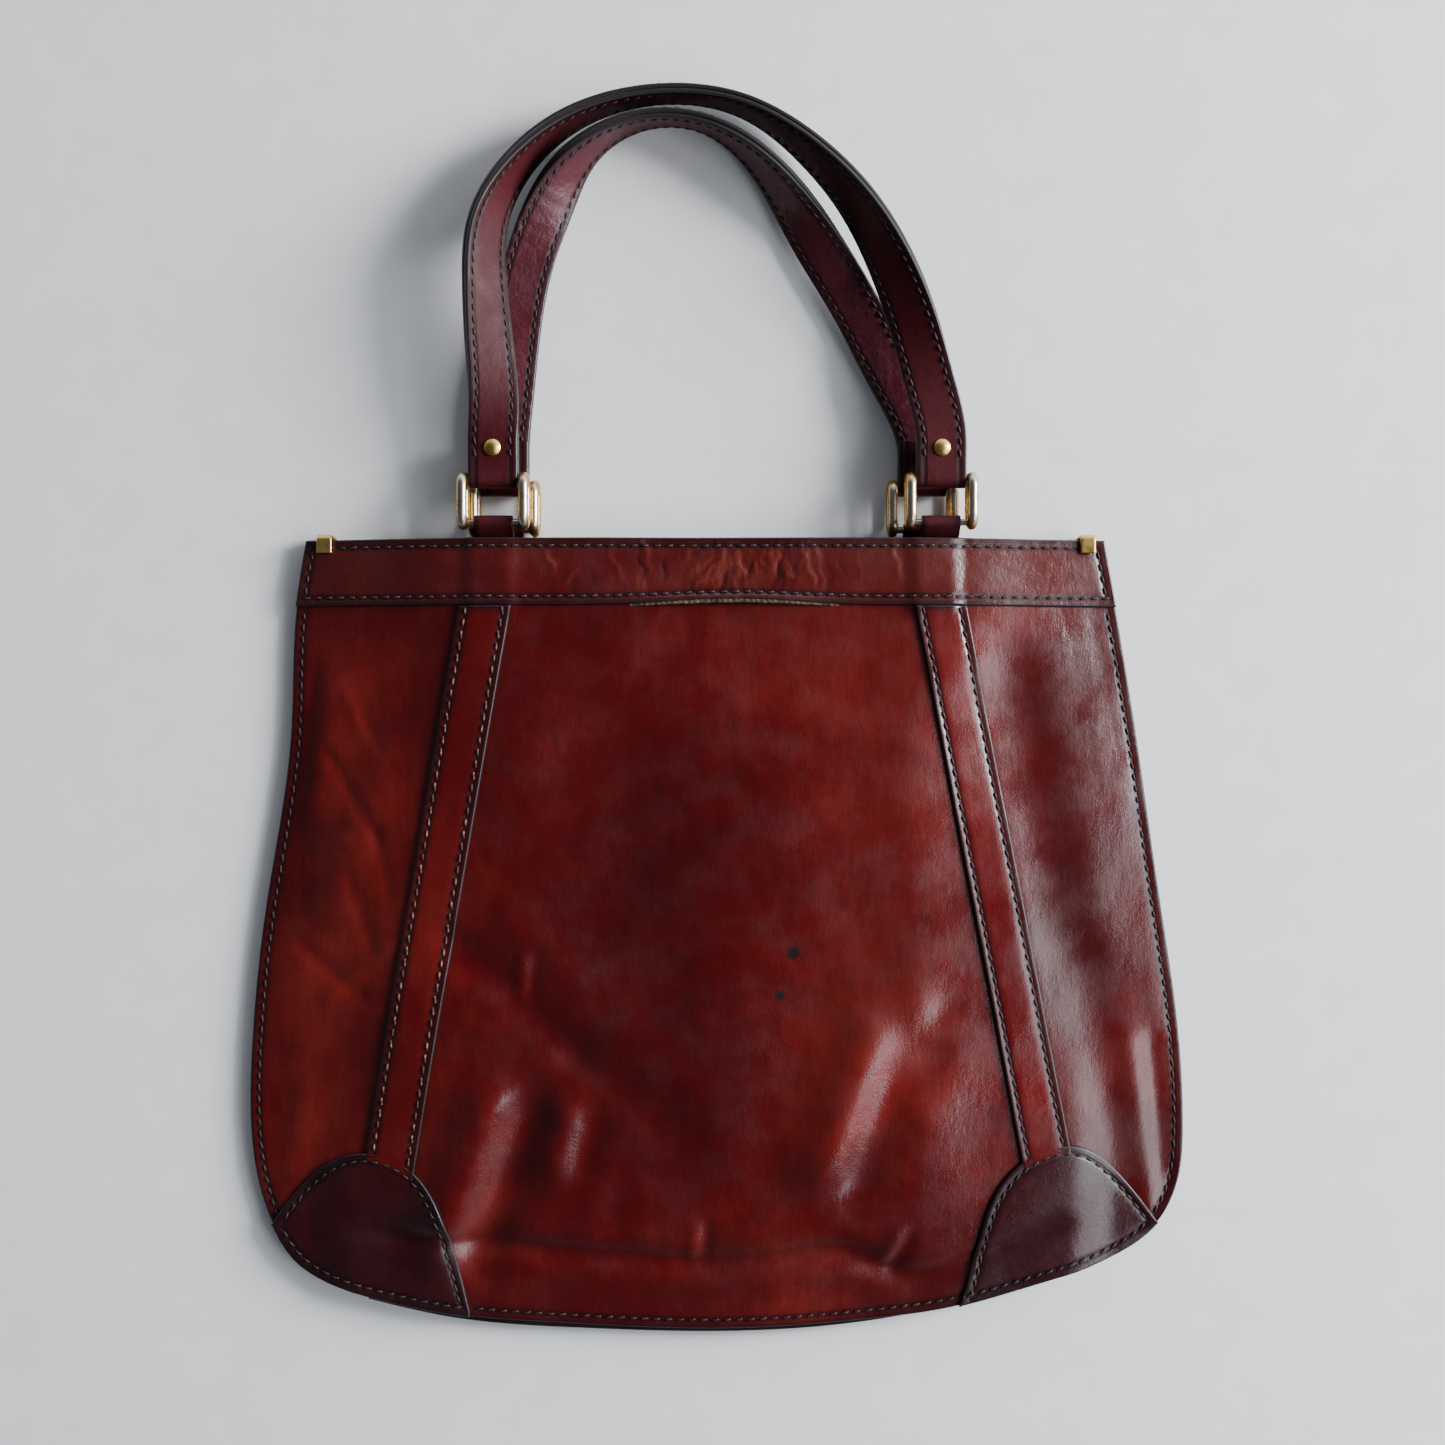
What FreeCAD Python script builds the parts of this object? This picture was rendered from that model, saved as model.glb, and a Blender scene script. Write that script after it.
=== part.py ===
import FreeCAD, Part
import math
import os

# A soft leather handbag lying on its back: +X to its right, +Y towards the handles, +Z up from the table.
# The shapes are drawn about the middle of the panels. At the end every sub-part moves down by rest_y, so that the
# origin is in the middle of the back band's flat outer face, which the bag rests on. All sizes are millimetres.

os.makedirs("parts", exist_ok=True)
Vector = FreeCAD.Vector
doc = FreeCAD.newDocument("SatchelBag")

# ---------------------------------------------------------------- driving dimensions
DIMENSIONS = {
    "panel_thick": 1.6, "overlay_thick": 1.5, "lining_thick": 0.8, "layer_gap": 0.05,
    "mouth_y": 144.0, "band_low_y": 119.5, "rest_y": 132.0, "swell_height": 13.0,
    "gusset_lift": 2.7, "gusset_depth": 18.0, "gusset_fold": 2.5, "lining_inset": 19.0, "lining_top_y": 124.0,
    "pocket_wide": 130.0, "pocket_low_y": -5.0, "pocket_top_y": 95.0,
    "strip_wide": 19.0, "clip_wide": 5.6, "clip_deep": 6.4, "clip_wall": 1.0, "clip_proud": 1.6,
    "wire_dia": 3.8, "bar_dia": 2.4, "loop_straight": 10.0, "loop_bend": 3.6, "loop_spacing": 22.2,
    "bar_offset": 7.8, "front_ring_y": 157.3, "front_ring_z": 16.4, "back_ring_y": 155.7,
    "back_ring_z": 5.8, "front_ring_left_x": -79.2, "front_ring_right_x": 83.2,
    "back_ring_left_x": -76.6, "back_ring_right_x": 77.7, "bar_clearance": 0.1,
    "tab_wide": 14.0, "tab_leather": 1.2, "tab_tuck": 16.0,
    "strap_wide": 18.0, "strap_leather": 2.0, "backing_leather": 1.8, "fold_neck": 7.0,
    "flap_length": 17.0, "rivet_dia": 6.0, "rivet_shank_dia": 2.6, "rivet_from_bar": 11.0,
    "rivet_dome": 1.7,
}
sheet = doc.addObject("Spreadsheet::Sheet", "Dimensions")
for row, (name, value) in enumerate(DIMENSIONS.items(), start=1):
    sheet.set("A%d" % row, name)
    sheet.set("B%d" % row, str(value))
    sheet.setAlias("B%d" % row, name)
doc.recompute()


def size(name):
    """One driving dimension, read from the sheet."""
    return float(sheet.get(name))


def cell(name):
    """The expression that binds a property to one driving dimension."""
    return "Dimensions." + name


NODES = []


def keep(item, node):
    """Marks a document object as a finished sub-part, with the name of its file."""
    item.Label = node
    NODES.append(item)
    return item


def add_shape(name, shape):
    """A document object that holds a shape made by Part's own functions."""
    item = doc.addObject("Part::Feature", name)
    item.Shape = shape
    return item


def cut(name, base, tool):
    item = doc.addObject("Part::Cut", name)
    item.Base, item.Tool = base, tool
    return item


def fuse(name, items):
    item = doc.addObject("Part::MultiFuse", name)
    item.Shapes = items
    return item


def overlap(name, items):
    item = doc.addObject("Part::MultiCommon", name)
    item.Shapes = items
    return item


def cylinder(name, centre, axis, radius_rule, length_rule):
    """A cylinder centred on a point, with its radius and length bound to the sheet."""
    item = doc.addObject("Part::Cylinder", name)
    item.setExpression("Radius", radius_rule)
    item.setExpression("Height", length_rule)
    doc.recompute()
    half = axis * (item.Height.Value / 2)
    item.Placement = FreeCAD.Placement(centre - half, FreeCAD.Rotation(Vector(0, 0, 1), axis))
    return item


# ---------------------------------------------------------------- outline of the bag, seen from above
LEFT_SIDE = [(-150, 144), (-154, 118), (-156, 72), (-165, 10), (-170.5, -45), (-169.5, -85)]
LEFT_CORNER = [(-163.5, -107), (-152, -124), (-134, -132.5)]
BOTTOM = [(-97, -141), (-50, -145), (0, -146.5), (50, -144), (88, -138.8), (125, -128.4)]
RIGHT_CORNER = [(152, -118.4), (166, -107), (172.5, -93)]
RIGHT_SIDE = [(174.5, -72), (172.5, -35), (166, 11), (157.5, 70), (149, 122), (145, 144)]
OUTLINE = LEFT_SIDE + LEFT_CORNER + BOTTOM + RIGHT_CORNER + RIGHT_SIDE

# Each corner patch's inner edge, from the side seam over its crown to the bottom seam.
LEFT_PATCH = [(-163, -109), (-150, -92.5), (-130, -81), (-113, -84.5), (-100, -99.5), (-94, -118), (-89, -140)]
RIGHT_PATCH = [(165, -108), (152, -91.5), (133, -78.5), (113.5, -84.3), (102, -99.2), (96.5, -118.5), (91, -138)]

# Each slanted strip's centre line, from the band down to the patch that covers its end.
LEFT_STRIP = [(-82.3, 121), (-118.5, -90)]
RIGHT_STRIP = [(83.2, 121), (124, -90)]


def spline(points):
    curve = Part.BSplineCurve()
    curve.interpolate([Vector(x, y, 0) for x, y in points])
    return curve.toShape()


def closed_wire(points):
    """A smooth run through the points, closed by a straight edge from the last to the first."""
    first, last = points[0], points[-1]
    return Part.Wire([spline(points), Part.makeLine(Vector(*last, 0), Vector(*first, 0))])


def between(value, points, along):
    """Straight-line reading of a point list: the other coordinate at one value of the given one."""
    ordered = sorted(points, key=lambda point: point[along])
    value = min(max(value, ordered[0][along]), ordered[-1][along])
    for low, high in zip(ordered, ordered[1:]):
        if value <= high[along]:
            share = (value - low[along]) / (high[along] - low[along])
            return low[1 - along] + share * (high[1 - along] - low[1 - along])


def smooth(share):
    """0 below 0, 1 above 1, and an even S-shaped rise in between."""
    share = min(max(share, 0.0), 1.0)
    return share * share * (3 - 2 * share)


RISE_FROM_SEAM = 110.0      # the front is full this far above the bottom seam
GUSSET_HALF = 130.0         # the gusset runs this far each way from the middle
SHOULDER = 0.55             # share of the half width over which the side rises


def swell(x, y):
    """How far the empty bag's front stands above its back: a sine rise in from each side seam, times a
    sine rise from the bottom seam, times a slight fall towards the mouth, plus the folded gusset."""
    left, right = between(y, LEFT_SIDE, 1), between(y, RIGHT_SIDE, 1)
    middle, half = (left + right) / 2, (right - left) / 2
    from_side = max(0.0, 1 - abs(x - middle) / half)
    side = math.sin(math.pi / 2 * min(1.0, from_side / SHOULDER)) ** 1.2
    above = max(0.0, y - between(x, LEFT_CORNER + BOTTOM + RIGHT_CORNER, 0))
    rise = math.sin(math.pi / 2 * min(1.0, above / RISE_FROM_SEAM))
    mouth = 1 - 0.15 * smooth((y - 40) / 100)
    lift = size("gusset_lift") * smooth((150 - abs(x)) / 20) * smooth(1.6 - above / 60)
    return lift + (size("swell_height") - lift) * side * rise * mouth


def front_surface():
    """The underside of the front panel, as one smooth surface a little larger than the bag."""
    grid = []
    for y in [-152 + 12.2 * row for row in range(26)]:
        left, right = between(y, LEFT_SIDE, 1), between(y, RIGHT_SIDE, 1)
        middle, half = (left + right) / 2, (right - left) / 2
        line = []
        for step in range(-16, 17):
            x = middle + half * 1.04 * math.sin(math.pi / 2 * step / 16)
            line.append(Vector(x, y, back_top + swell(x, y)))
        grid.append(line)
    surface = Part.BSplineSurface()
    surface.interpolate(grid)
    return surface.toShape()


overlay = size("overlay_thick")
panel = size("panel_thick")
gap = size("layer_gap")
back_top = overlay + panel          # inside face of the back panel
FRONT_FACE = front_surface()


def slab(name, offset, thickness):
    """A layer of even thickness that follows the front, its lower face this far above the panel's underside."""
    face = FRONT_FACE.copy()
    face.translate(Vector(0, 0, offset))
    return add_shape(name, face.extrude(Vector(0, 0, thickness)))


def prism(name, wire, low, high):
    """An upright prism with the wire as its plan."""
    face = Part.Face(wire)
    face.translate(Vector(0, 0, low))
    return add_shape(name, face.extrude(Vector(0, 0, high - low)))


def rectangle(x_low, x_high, y_low, y_high):
    corners = [(x_low, y_low), (x_high, y_low), (x_high, y_high), (x_low, y_high), (x_low, y_low)]
    return Part.makePolygon([Vector(x, y, 0) for x, y in corners])


def strip_wire(line):
    """A straight strip's plan: its centre line widened evenly to both sides along X."""
    (x_top, y_top), (x_low, y_low) = line
    half = size("strip_wide") / 2
    corners = [(x_top - half, y_top), (x_top + half, y_top), (x_low + half, y_low), (x_low - half, y_low)]
    return Part.makePolygon([Vector(x, y, 0) for x, y in corners + corners[:1]])


def patch_wire(points, side):
    """A corner patch's plan: its inner edge, closed well outside the bag's corner."""
    (x_first, y_first), (x_last, y_last) = points[0], points[-1]
    outer = [(x_last, y_last), (x_last, -165), (side * 190, -165), (side * 190, y_first), (x_first, y_first)]
    return Part.Wire([spline(points), Part.makePolygon([Vector(x, y, 0) for x, y in outer])])


# ---------------------------------------------------------------- leather of the body
TALL = 40.0
bag_wire = closed_wire(OUTLINE)
bag_prism = prism("BagPlan", bag_wire, -1, TALL)
band_low = size("band_low_y")
band_prism = prism("BandPlan", rectangle(-200, 200, band_low, 200), -2, TALL + 1)
below_band = prism("BelowBandPlan", rectangle(-200, 200, -200, band_low - gap), -2, TALL + 1)

front_panel_slab = slab("FrontPanelLayer", 0, panel)
front_overlay_slab = slab("FrontOverlayLayer", panel, overlay)
back_panel_slab = prism("BackPanelLayer", rectangle(-200, 200, -200, 200), overlay, back_top)
back_overlay_slab = prism("BackOverlayLayer", rectangle(-200, 200, -200, 200), 0, overlay)

keep(overlap("FrontPanel", [bag_prism, front_panel_slab]), "front_panel")
keep(overlap("BackPanel", [bag_prism, back_panel_slab]), "back_panel")

PATCHES = {"left": (LEFT_PATCH, -1), "right": (RIGHT_PATCH, 1)}
STRIPS = {"left": LEFT_STRIP, "right": RIGHT_STRIP}
for face, layer in (("front", front_overlay_slab), ("back", back_overlay_slab)):
    for side, (points, direction) in PATCHES.items():
        plan = prism("%s_%s_patch_plan" % (face, side), patch_wire(points, direction), -2, TALL + 1)
        keep(overlap("%s_%s_patch" % (face, side), [bag_prism, plan, layer]), "%s_patch_%s" % (face, side))
        strip_plan = prism("%s_%s_strip_plan" % (face, side), strip_wire(STRIPS[side]), -1.5, TALL)
        whole = overlap("%s_%s_strip_whole" % (face, side), [strip_plan, below_band, layer])
        keep(cut("%s_%s_strip" % (face, side), whole, plan), "%s_strip_%s" % (face, side))

# The clips are pressed into both bands, so each band has a shallow seat under each clip.
clip_wide, clip_deep, clip_wall = size("clip_wide"), size("clip_deep"), size("clip_wall")
mouth_y = size("mouth_y")
CLIPS = {"left": -142.6, "right": 138.4}
for face, layer in (("front", front_overlay_slab), ("back", back_overlay_slab)):
    band = overlap("%s_band_whole" % face, [bag_prism, band_prism, layer])
    if face == "back":
        seats = []
        for side, x in CLIPS.items():
            seat = doc.addObject("Part::Box", "clip_seat_" + side)
            seat.setExpression("Length", cell("clip_wide") + " + 0.2")
            seat.setExpression("Width", cell("clip_deep") + " + 10")
            seat.setExpression("Height", cell("clip_wall") + " + 1.05")
            low_y = mouth_y - clip_deep + size("clip_proud") - 0.1
            seat.Placement.Base = Vector(x - clip_wide / 2 - 0.1, low_y, -1)
            seats.append(seat)
        band = cut("back_band_seated", band, fuse("clip_seats", seats))
    keep(band, face + "_band")


def clip_profile(x):
    """The side view of a clip: a U whose legs lie flat on both bands and whose bend covers the mouth's edge. Its
    upper leg is level and clears the band at the clip's inner side, where the band is highest."""
    inner_x = x - math.copysign(clip_wide / 2, x)
    high = back_top + swell(inner_x, mouth_y - clip_deep) + panel + overlay + gap
    tip, end = mouth_y - clip_deep + size("clip_proud"), mouth_y + size("clip_proud")
    bend = end - clip_wall
    low = gap
    outer = [(tip, low), (end, low), (end, high + clip_wall), (tip, high + clip_wall)]
    inner = [(tip, high), (bend, high), (bend, low + clip_wall), (tip, low + clip_wall)]
    return [Vector(0, y, z) for y, z in outer + inner + outer[:1]]


for side, x in CLIPS.items():
    face = Part.Face(Part.makePolygon(clip_profile(x)))
    face.translate(Vector(x - clip_wide / 2, 0, 0))
    wire = add_shape("clip_%s_profile" % side, face)
    bent = doc.addObject("Part::Extrusion", "clip_%s_bent" % side)
    bent.Base = wire
    bent.Dir = Vector(1, 0, 0)
    bent.Solid = True
    bent.setExpression("LengthFwd", cell("clip_wide"))
    keep(bent, "clip_" + side)

# ---------------------------------------------------------------- base gusset, folded inwards and pressed flat
GUSSET_EDGE = [(-127, -136.3), (-97, -143), (-50, -147), (0, -148.3), (40, -146.5), (68, -142.8), (129, -127.8)]


def gusset_wire(depth):
    """The gusset's plan from its sewn edge to a line this far inside it."""
    inner = [(x, y + depth) for x, y in reversed(GUSSET_EDGE)]
    ends = [Part.makeLine(Vector(*GUSSET_EDGE[-1], 0), Vector(*inner[0], 0)),
            Part.makeLine(Vector(*inner[-1], 0), Vector(*GUSSET_EDGE[0], 0))]
    return Part.Wire([spline(GUSSET_EDGE), ends[0], spline(inner), ends[1]])


fold = size("gusset_fold")
depth = size("gusset_depth")
gusset_whole = prism("GussetFolded", gusset_wire(depth), back_top + gap, back_top + gap + fold)
slit_low = back_top + gap + fold / 2 - gap
slit = prism("GussetSlit", gusset_wire(depth - 2), slit_low, slit_low + 2 * gap)
keep(cut("BaseGusset", gusset_whole, slit), "base_gusset")

# ---------------------------------------------------------------- lining and inside pocket
lining_thick = size("lining_thick")
inset = size("lining_inset")


def lining_points():
    """The lining's plan: the bag's sides moved inwards, with a straight hem above the gusset."""
    left = [(x + inset, y) for x, y in LEFT_SIDE if y < size("lining_top_y")]
    right = [(x - inset, y) for x, y in RIGHT_SIDE if -80 < y < size("lining_top_y")]
    top = size("lining_top_y")
    hem = [(-120, -112), (-60, -121), (0, -123), (60, -120), (125, -106)]
    return [(left[0][0], top)] + left + hem + right + [(right[-1][0], top), (left[0][0], top)]


lining_wire = Part.makePolygon([Vector(x, y, 0) for x, y in lining_points()])
lining_plan = prism("LiningPlan", lining_wire, -1, TALL)
keep(overlap("FrontLining", [lining_plan, slab("FrontLiningLayer", -gap - lining_thick, lining_thick)]),
     "front_lining")
lining_low = back_top + gap
keep(prism("BackLining", lining_wire, lining_low, lining_low + lining_thick), "back_lining")
pocket = doc.addObject("Part::Box", "SlipPocket")
pocket.setExpression("Length", cell("pocket_wide"))
pocket.setExpression("Width", cell("pocket_top_y") + " - " + cell("pocket_low_y"))
pocket.setExpression("Height", cell("lining_thick"))
pocket.Placement.Base = Vector(-size("pocket_wide") / 2, size("pocket_low_y"), lining_low + lining_thick + gap)
keep(pocket, "slip_pocket")

# ---------------------------------------------------------------- rings
RINGS = {
    "front_left": (size("front_ring_left_x"), size("front_ring_y"), size("front_ring_z")),
    "front_right": (size("front_ring_right_x"), size("front_ring_y"), size("front_ring_z")),
    "back_left": (size("back_ring_left_x"), size("back_ring_y"), size("back_ring_z")),
    "back_right": (size("back_ring_right_x"), size("back_ring_y"), size("back_ring_z")),
}
bend, straight = size("loop_bend"), size("loop_straight")
spacing, bar_offset = size("loop_spacing"), size("bar_offset")
X_AXIS, Y_AXIS = Vector(1, 0, 0), Vector(0, 1, 0)

for ring, (x, y, z) in RINGS.items():
    pieces = []
    for hand in (-1, 1):
        side_x = x + hand * spacing / 2
        for end in (-1, 1):
            part = "%s_%d_%d" % (ring, hand + 1, end + 1)
            arc = doc.addObject("Part::Torus", "ring_end_" + part)
            arc.setExpression("Radius1", cell("loop_bend"))
            arc.setExpression("Radius2", cell("wire_dia") + " / 2")
            arc.Angle3 = 180
            turn = FreeCAD.Rotation(Vector(0, 0, 1), X_AXIS)
            if end < 0:
                turn = FreeCAD.Rotation(X_AXIS, 180) * turn
            # The half ring opens towards the loop's middle.
            arc.Placement = FreeCAD.Placement(Vector(side_x, y + end * straight / 2, z), turn)
            pieces.append(arc)
            leg = cylinder("ring_leg_" + part, Vector(side_x, y, z + end * bend), Y_AXIS,
                           cell("wire_dia") + " / 2", cell("loop_straight"))
            pieces.append(leg)
    for end in (-1, 1):
        bar = cylinder("ring_bar_%s_%d" % (ring, end + 1), Vector(x, y + end * bar_offset, z), X_AXIS,
                       cell("bar_dia") + " / 2", cell("loop_spacing"))
        pieces.append(bar)
    keep(fuse("ring_" + ring, pieces), "ring_" + ring)

# ---------------------------------------------------------------- tabs that hold the rings
bar_radius = size("bar_dia") / 2
hole = bar_radius + size("bar_clearance")
tab_leather, tab_wide = size("tab_leather"), size("tab_wide")


def turned_loop(name, x, y, z, wide_rule, outer_rule, neck_points):
    """A leather loop round a bar: a disc and its neck, in side view, carried along the bar, less the bore."""
    disc = cylinder(name + "_disc", Vector(x, y, z), X_AXIS, outer_rule, wide_rule)
    face = Part.Face(Part.makePolygon([Vector(0, a, b) for a, b in neck_points + neck_points[:1]]))
    face.translate(Vector(x - disc.Height.Value / 2, 0, 0))
    neck = doc.addObject("Part::Extrusion", name + "_neck")
    neck.Base = add_shape(name + "_neck_profile", face)
    neck.Dir = Vector(1, 0, 0)
    neck.Solid = True
    neck.setExpression("LengthFwd", wide_rule)
    bore = cylinder(name + "_bore", Vector(x, y, z), X_AXIS,
                    cell("bar_dia") + " / 2 + " + cell("bar_clearance"), wide_rule + " + 2")
    return cut(name, fuse(name + "_solid", [disc, neck]), bore)


for ring, (x, y, z) in RINGS.items():
    bar_y = y - bar_offset
    tuck = mouth_y - size("tab_tuck")
    outer = hole + tab_leather
    if ring.startswith("front"):
        top = back_top + min(swell(x - tab_wide / 2, mouth_y), swell(x + tab_wide / 2, mouth_y)) - 0.15
        low_top = back_top + min(swell(x - tab_wide / 2, tuck), swell(x + tab_wide / 2, tuck)) - 0.15
        top, low_top = min(top, low_top), min(top, low_top)
        bottom = top - 2 * tab_leather
    else:
        bottom = back_top + gap
        top = bottom + 2 * tab_leather
    neck = [(tuck, bottom), (mouth_y, bottom), (bar_y, z - outer), (bar_y, z + outer), (mouth_y + 0.2, top),
            (tuck, top)]
    tab = turned_loop("tab_" + ring, x, bar_y, z, cell("tab_wide"),
                      cell("bar_dia") + " / 2 + " + cell("bar_clearance") + " + " + cell("tab_leather"), neck)
    face, side = ring.split("_")
    keep(tab, "%s_tab_%s" % (face, side))

# ---------------------------------------------------------------- handles
# Stations of each handle's middle line: x, y, z and the roll in degrees that lifts the outer edge.
FRONT_ROUTE = [
    (-79.0, 192, 18.0, 14), (-80.5, 214, 18.8, 30), (-82.0, 236, 19.2, 42), (-81.5, 256, 17.8, 54),
    (-74.5, 275, 13.8, 70), (-56, 295, 10.8, 86), (-20, 307.3, 9.8, 97), (10, 303.5, 10.0, 92),
    (35, 287, 11.8, 75), (52.5, 267, 14.2, 58), (64, 246, 16.8, 40), (73.0, 222, 18.0, 22), (79.5, 198, 17.8, 6),
]
BACK_ROUTE = [
    (-75.2, 196, 4.2, 3), (-72.5, 222, 4.2, 5), (-68.0, 246, 4.4, 8), (-59.8, 267, 7.2, 32),
    (-48.5, 284.5, 9.6, 70), (-27, 297.5, 9.8, 95), (-4, 297, 9.8, 97), (13.0, 287, 9.8, 82),
    (27.0, 271, 9.0, 56), (41.0, 250, 6.4, 25), (54.5, 228, 4.8, 11), (66.0, 206, 4.4, 5),
]
strap_wide, strap_leather = size("strap_wide"), size("strap_leather")
backing_leather = size("backing_leather")
whole_thick = strap_leather + backing_leather


def tangents(points):
    """The direction of a line of points at each point, from its neighbours."""
    ways = []
    for index in range(len(points)):
        before, after = points[max(index - 1, 0)], points[min(index + 1, len(points) - 1)]
        ways.append((after - before).normalize())
    ways[0], ways[-1] = Vector(0, 1, 0), Vector(0, -1, 0)
    return ways


def section(centre, way, roll, low, high):
    """The corners of one cross-section: the strap's width by the part of its thickness from low to high."""
    outward = Vector(-way.y, way.x, 0).normalize()
    angle = math.radians(roll)
    across = outward * math.cos(angle) + Vector(0, 0, math.sin(angle))
    facing = outward * -math.sin(angle) + Vector(0, 0, math.cos(angle))
    half = strap_wide / 2
    return [centre + across * (a * half) + facing * b for a, b in ((-1, low), (1, low), (1, high), (-1, high))]


def ribbon(route, low, high):
    """One strap layer: four smooth edges through the stations, a ruled face between each two, and flat ends."""
    points = [Vector(x, y, z) for x, y, z, roll in route]
    rolls = [roll for x, y, z, roll in route]
    corners = [section(c, w, r, low, high) for c, w, r in zip(points, tangents(points), rolls)]
    edges = []
    for corner in range(4):
        curve = Part.BSplineCurve()
        curve.interpolate([station[corner] for station in corners])
        edges.append(curve.toShape())
    faces = [Part.makeRuledSurface(edges[k], edges[(k + 1) % 4]) for k in range(4)]
    for end in (corners[0], corners[-1]):
        faces.append(Part.Face(Part.makePolygon(end + end[:1])))
    shell = Part.makeShell(faces)
    shell.sewShape()
    solid = Part.makeSolid(shell)
    if solid.Volume < 0:
        solid.reverse()
    return solid


def rivet(name, place):
    """A rivet: a flat washer head under the flap, a shank through the leather and a domed cap on the good
    side. Its half outline is turned about its own axis; local z is measured from the bar's centre."""
    shank, cap = size("rivet_shank_dia") / 2, size("rivet_dia") / 2
    seat = hole + strap_leather + gap
    under = hole - whole_thick - 3 * gap
    washer = 0.8
    rim = seat + size("rivet_dome") / 3
    crown = seat + size("rivet_dome")
    straight_run = [(0, under - washer), (0.8 * cap, under - washer), (0.8 * cap, under), (shank, under),
                    (shank, seat), (cap, seat), (cap, rim)]
    points = [Vector(a, 0, b) for a, b in straight_run]
    # The dome is a piece of a sphere centred on the rivet's axis.
    dome_high = crown - rim
    ball = (cap ** 2 + dome_high ** 2) / (2 * dome_high)
    halfway = math.asin(cap / ball) / 2
    over = Vector(ball * math.sin(halfway), 0, crown - ball + ball * math.cos(halfway))
    dome = Part.Arc(points[-1], over, Vector(0, 0, crown)).toShape()
    axis = Part.makeLine(Vector(0, 0, crown), points[0])
    half_outline = add_shape(name + "_outline", Part.Face(Part.Wire([*Part.makePolygon(points).Edges, dome, axis])))
    turned = doc.addObject("Part::Revolution", name)
    turned.Source = half_outline
    turned.Axis = Vector(0, 0, 1)
    turned.Base = Vector(0, 0, 0)
    turned.Angle = 360
    turned.Placement = place
    return turned


def handle(name, route, left, right, face_side):
    """The two leather layers of one handle. face_side is 1 where the good side faces up, -1 where it faces
    the table. Each end of the outer layer goes round its ring's upper bar and back as a riveted flap."""
    reach = hole + strap_leather
    middle = face_side * (reach - whole_thick / 2)
    neck = size("fold_neck")
    stations = []
    for x, y, z in (left, right):
        bar_y = y + bar_offset
        stations.append([(x, bar_y + neck, z + middle, 0), (x, bar_y + neck + 8, z + middle, 0)])
    full = stations[0] + route + list(reversed(stations[1]))
    half = whole_thick / 2
    seam = half - strap_leather
    outer = (seam, half) if face_side > 0 else (-half, -seam)
    inner = (-half, seam - 0.02) if face_side > 0 else (-seam + 0.02, half)
    body = [add_shape(name + "_outer_run", ribbon(full, *outer))]
    for side, (x, y, z) in (("left", left), ("right", right)):
        bar_y = y + bar_offset
        join = bar_y + neck
        crotch = hole / 3
        rise = z + middle - face_side * (half + 0.05)
        end = bar_y + size("flap_length")
        neck_points = [(bar_y, z + face_side * reach), (join + 0.01, z + face_side * reach),
                       (join + 0.01, z + face_side * hole), (bar_y + crotch, z + face_side * hole),
                       (bar_y + crotch, z - face_side * hole), (join, rise), (end, rise),
                       (end, rise - face_side * strap_leather), (join, rise - face_side * strap_leather),
                       (bar_y, z - face_side * reach)]
        body.append(turned_loop("%s_end_%s" % (name, side), x, bar_y, z, cell("strap_wide"),
                                " + ".join([cell("bar_dia") + " / 2", cell("bar_clearance"),
                                            cell("strap_leather")]), neck_points))
    rivets, shanks = [], []
    for side, (x, y, z) in (("left", left), ("right", right)):
        place = FreeCAD.Placement(Vector(x, y + bar_offset + size("rivet_from_bar"), z), FreeCAD.Rotation())
        if face_side < 0:
            place.Rotation = FreeCAD.Rotation(X_AXIS, 180)
        rivets.append(rivet("%s_rivet_%s" % (name, side), place))
        for layer in ("strap", "backing"):
            shank = doc.addObject("Part::Cylinder", "%s_%s_hole_%s" % (name, layer, side))
            shank.setExpression("Radius", cell("rivet_shank_dia") + " / 2")
            shank.Height = 3 * whole_thick
            shank.Placement = place.multiply(FreeCAD.Placement(Vector(0, 0, -1.5 * whole_thick), FreeCAD.Rotation()))
            shanks.append(shank)
    strap_whole = fuse(name + "_strap_whole", body)
    keep(cut(name + "_strap_pierced", strap_whole, fuse(name + "_strap_holes", shanks[0::2])), name + "_strap")
    backing_whole = add_shape(name + "_inner_run", ribbon(full, *inner))
    keep(cut(name + "_backing_pierced", backing_whole, fuse(name + "_backing_holes", shanks[1::2])),
         name + "_backing")
    keep(fuse(name + "_rivet_pair", rivets), name + "_rivets")


handle("front_handle", FRONT_ROUTE, RINGS["front_left"], RINGS["front_right"], 1)
handle("back_handle", BACK_ROUTE, RINGS["back_left"], RINGS["back_right"], -1)

# ---------------------------------------------------------------- write the sub-parts
doc.recompute()
for item in doc.Objects:
    if {"Invalid", "Error"} & set(item.State):
        raise RuntimeError("failed object: %s %s" % (item.Name, item.State))
for item in NODES:
    shape = item.Shape
    if shape.isNull() or not shape.isValid():
        raise RuntimeError("bad shape: " + item.Label)
for item in NODES:
    item.Placement = FreeCAD.Placement(Vector(0, -size("rest_y"), 0), FreeCAD.Rotation()).multiply(item.Placement)
    item.Shape.exportStep("parts/%s.step" % item.Label)
    box = item.Shape.BoundBox
    print("%-24s %2d solid(s) %9.1f mm3  z %6.2f..%6.2f" % (
        item.Label, len(item.Shape.Solids), item.Shape.Volume, box.ZMin, box.ZMax))
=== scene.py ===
import math

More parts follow.
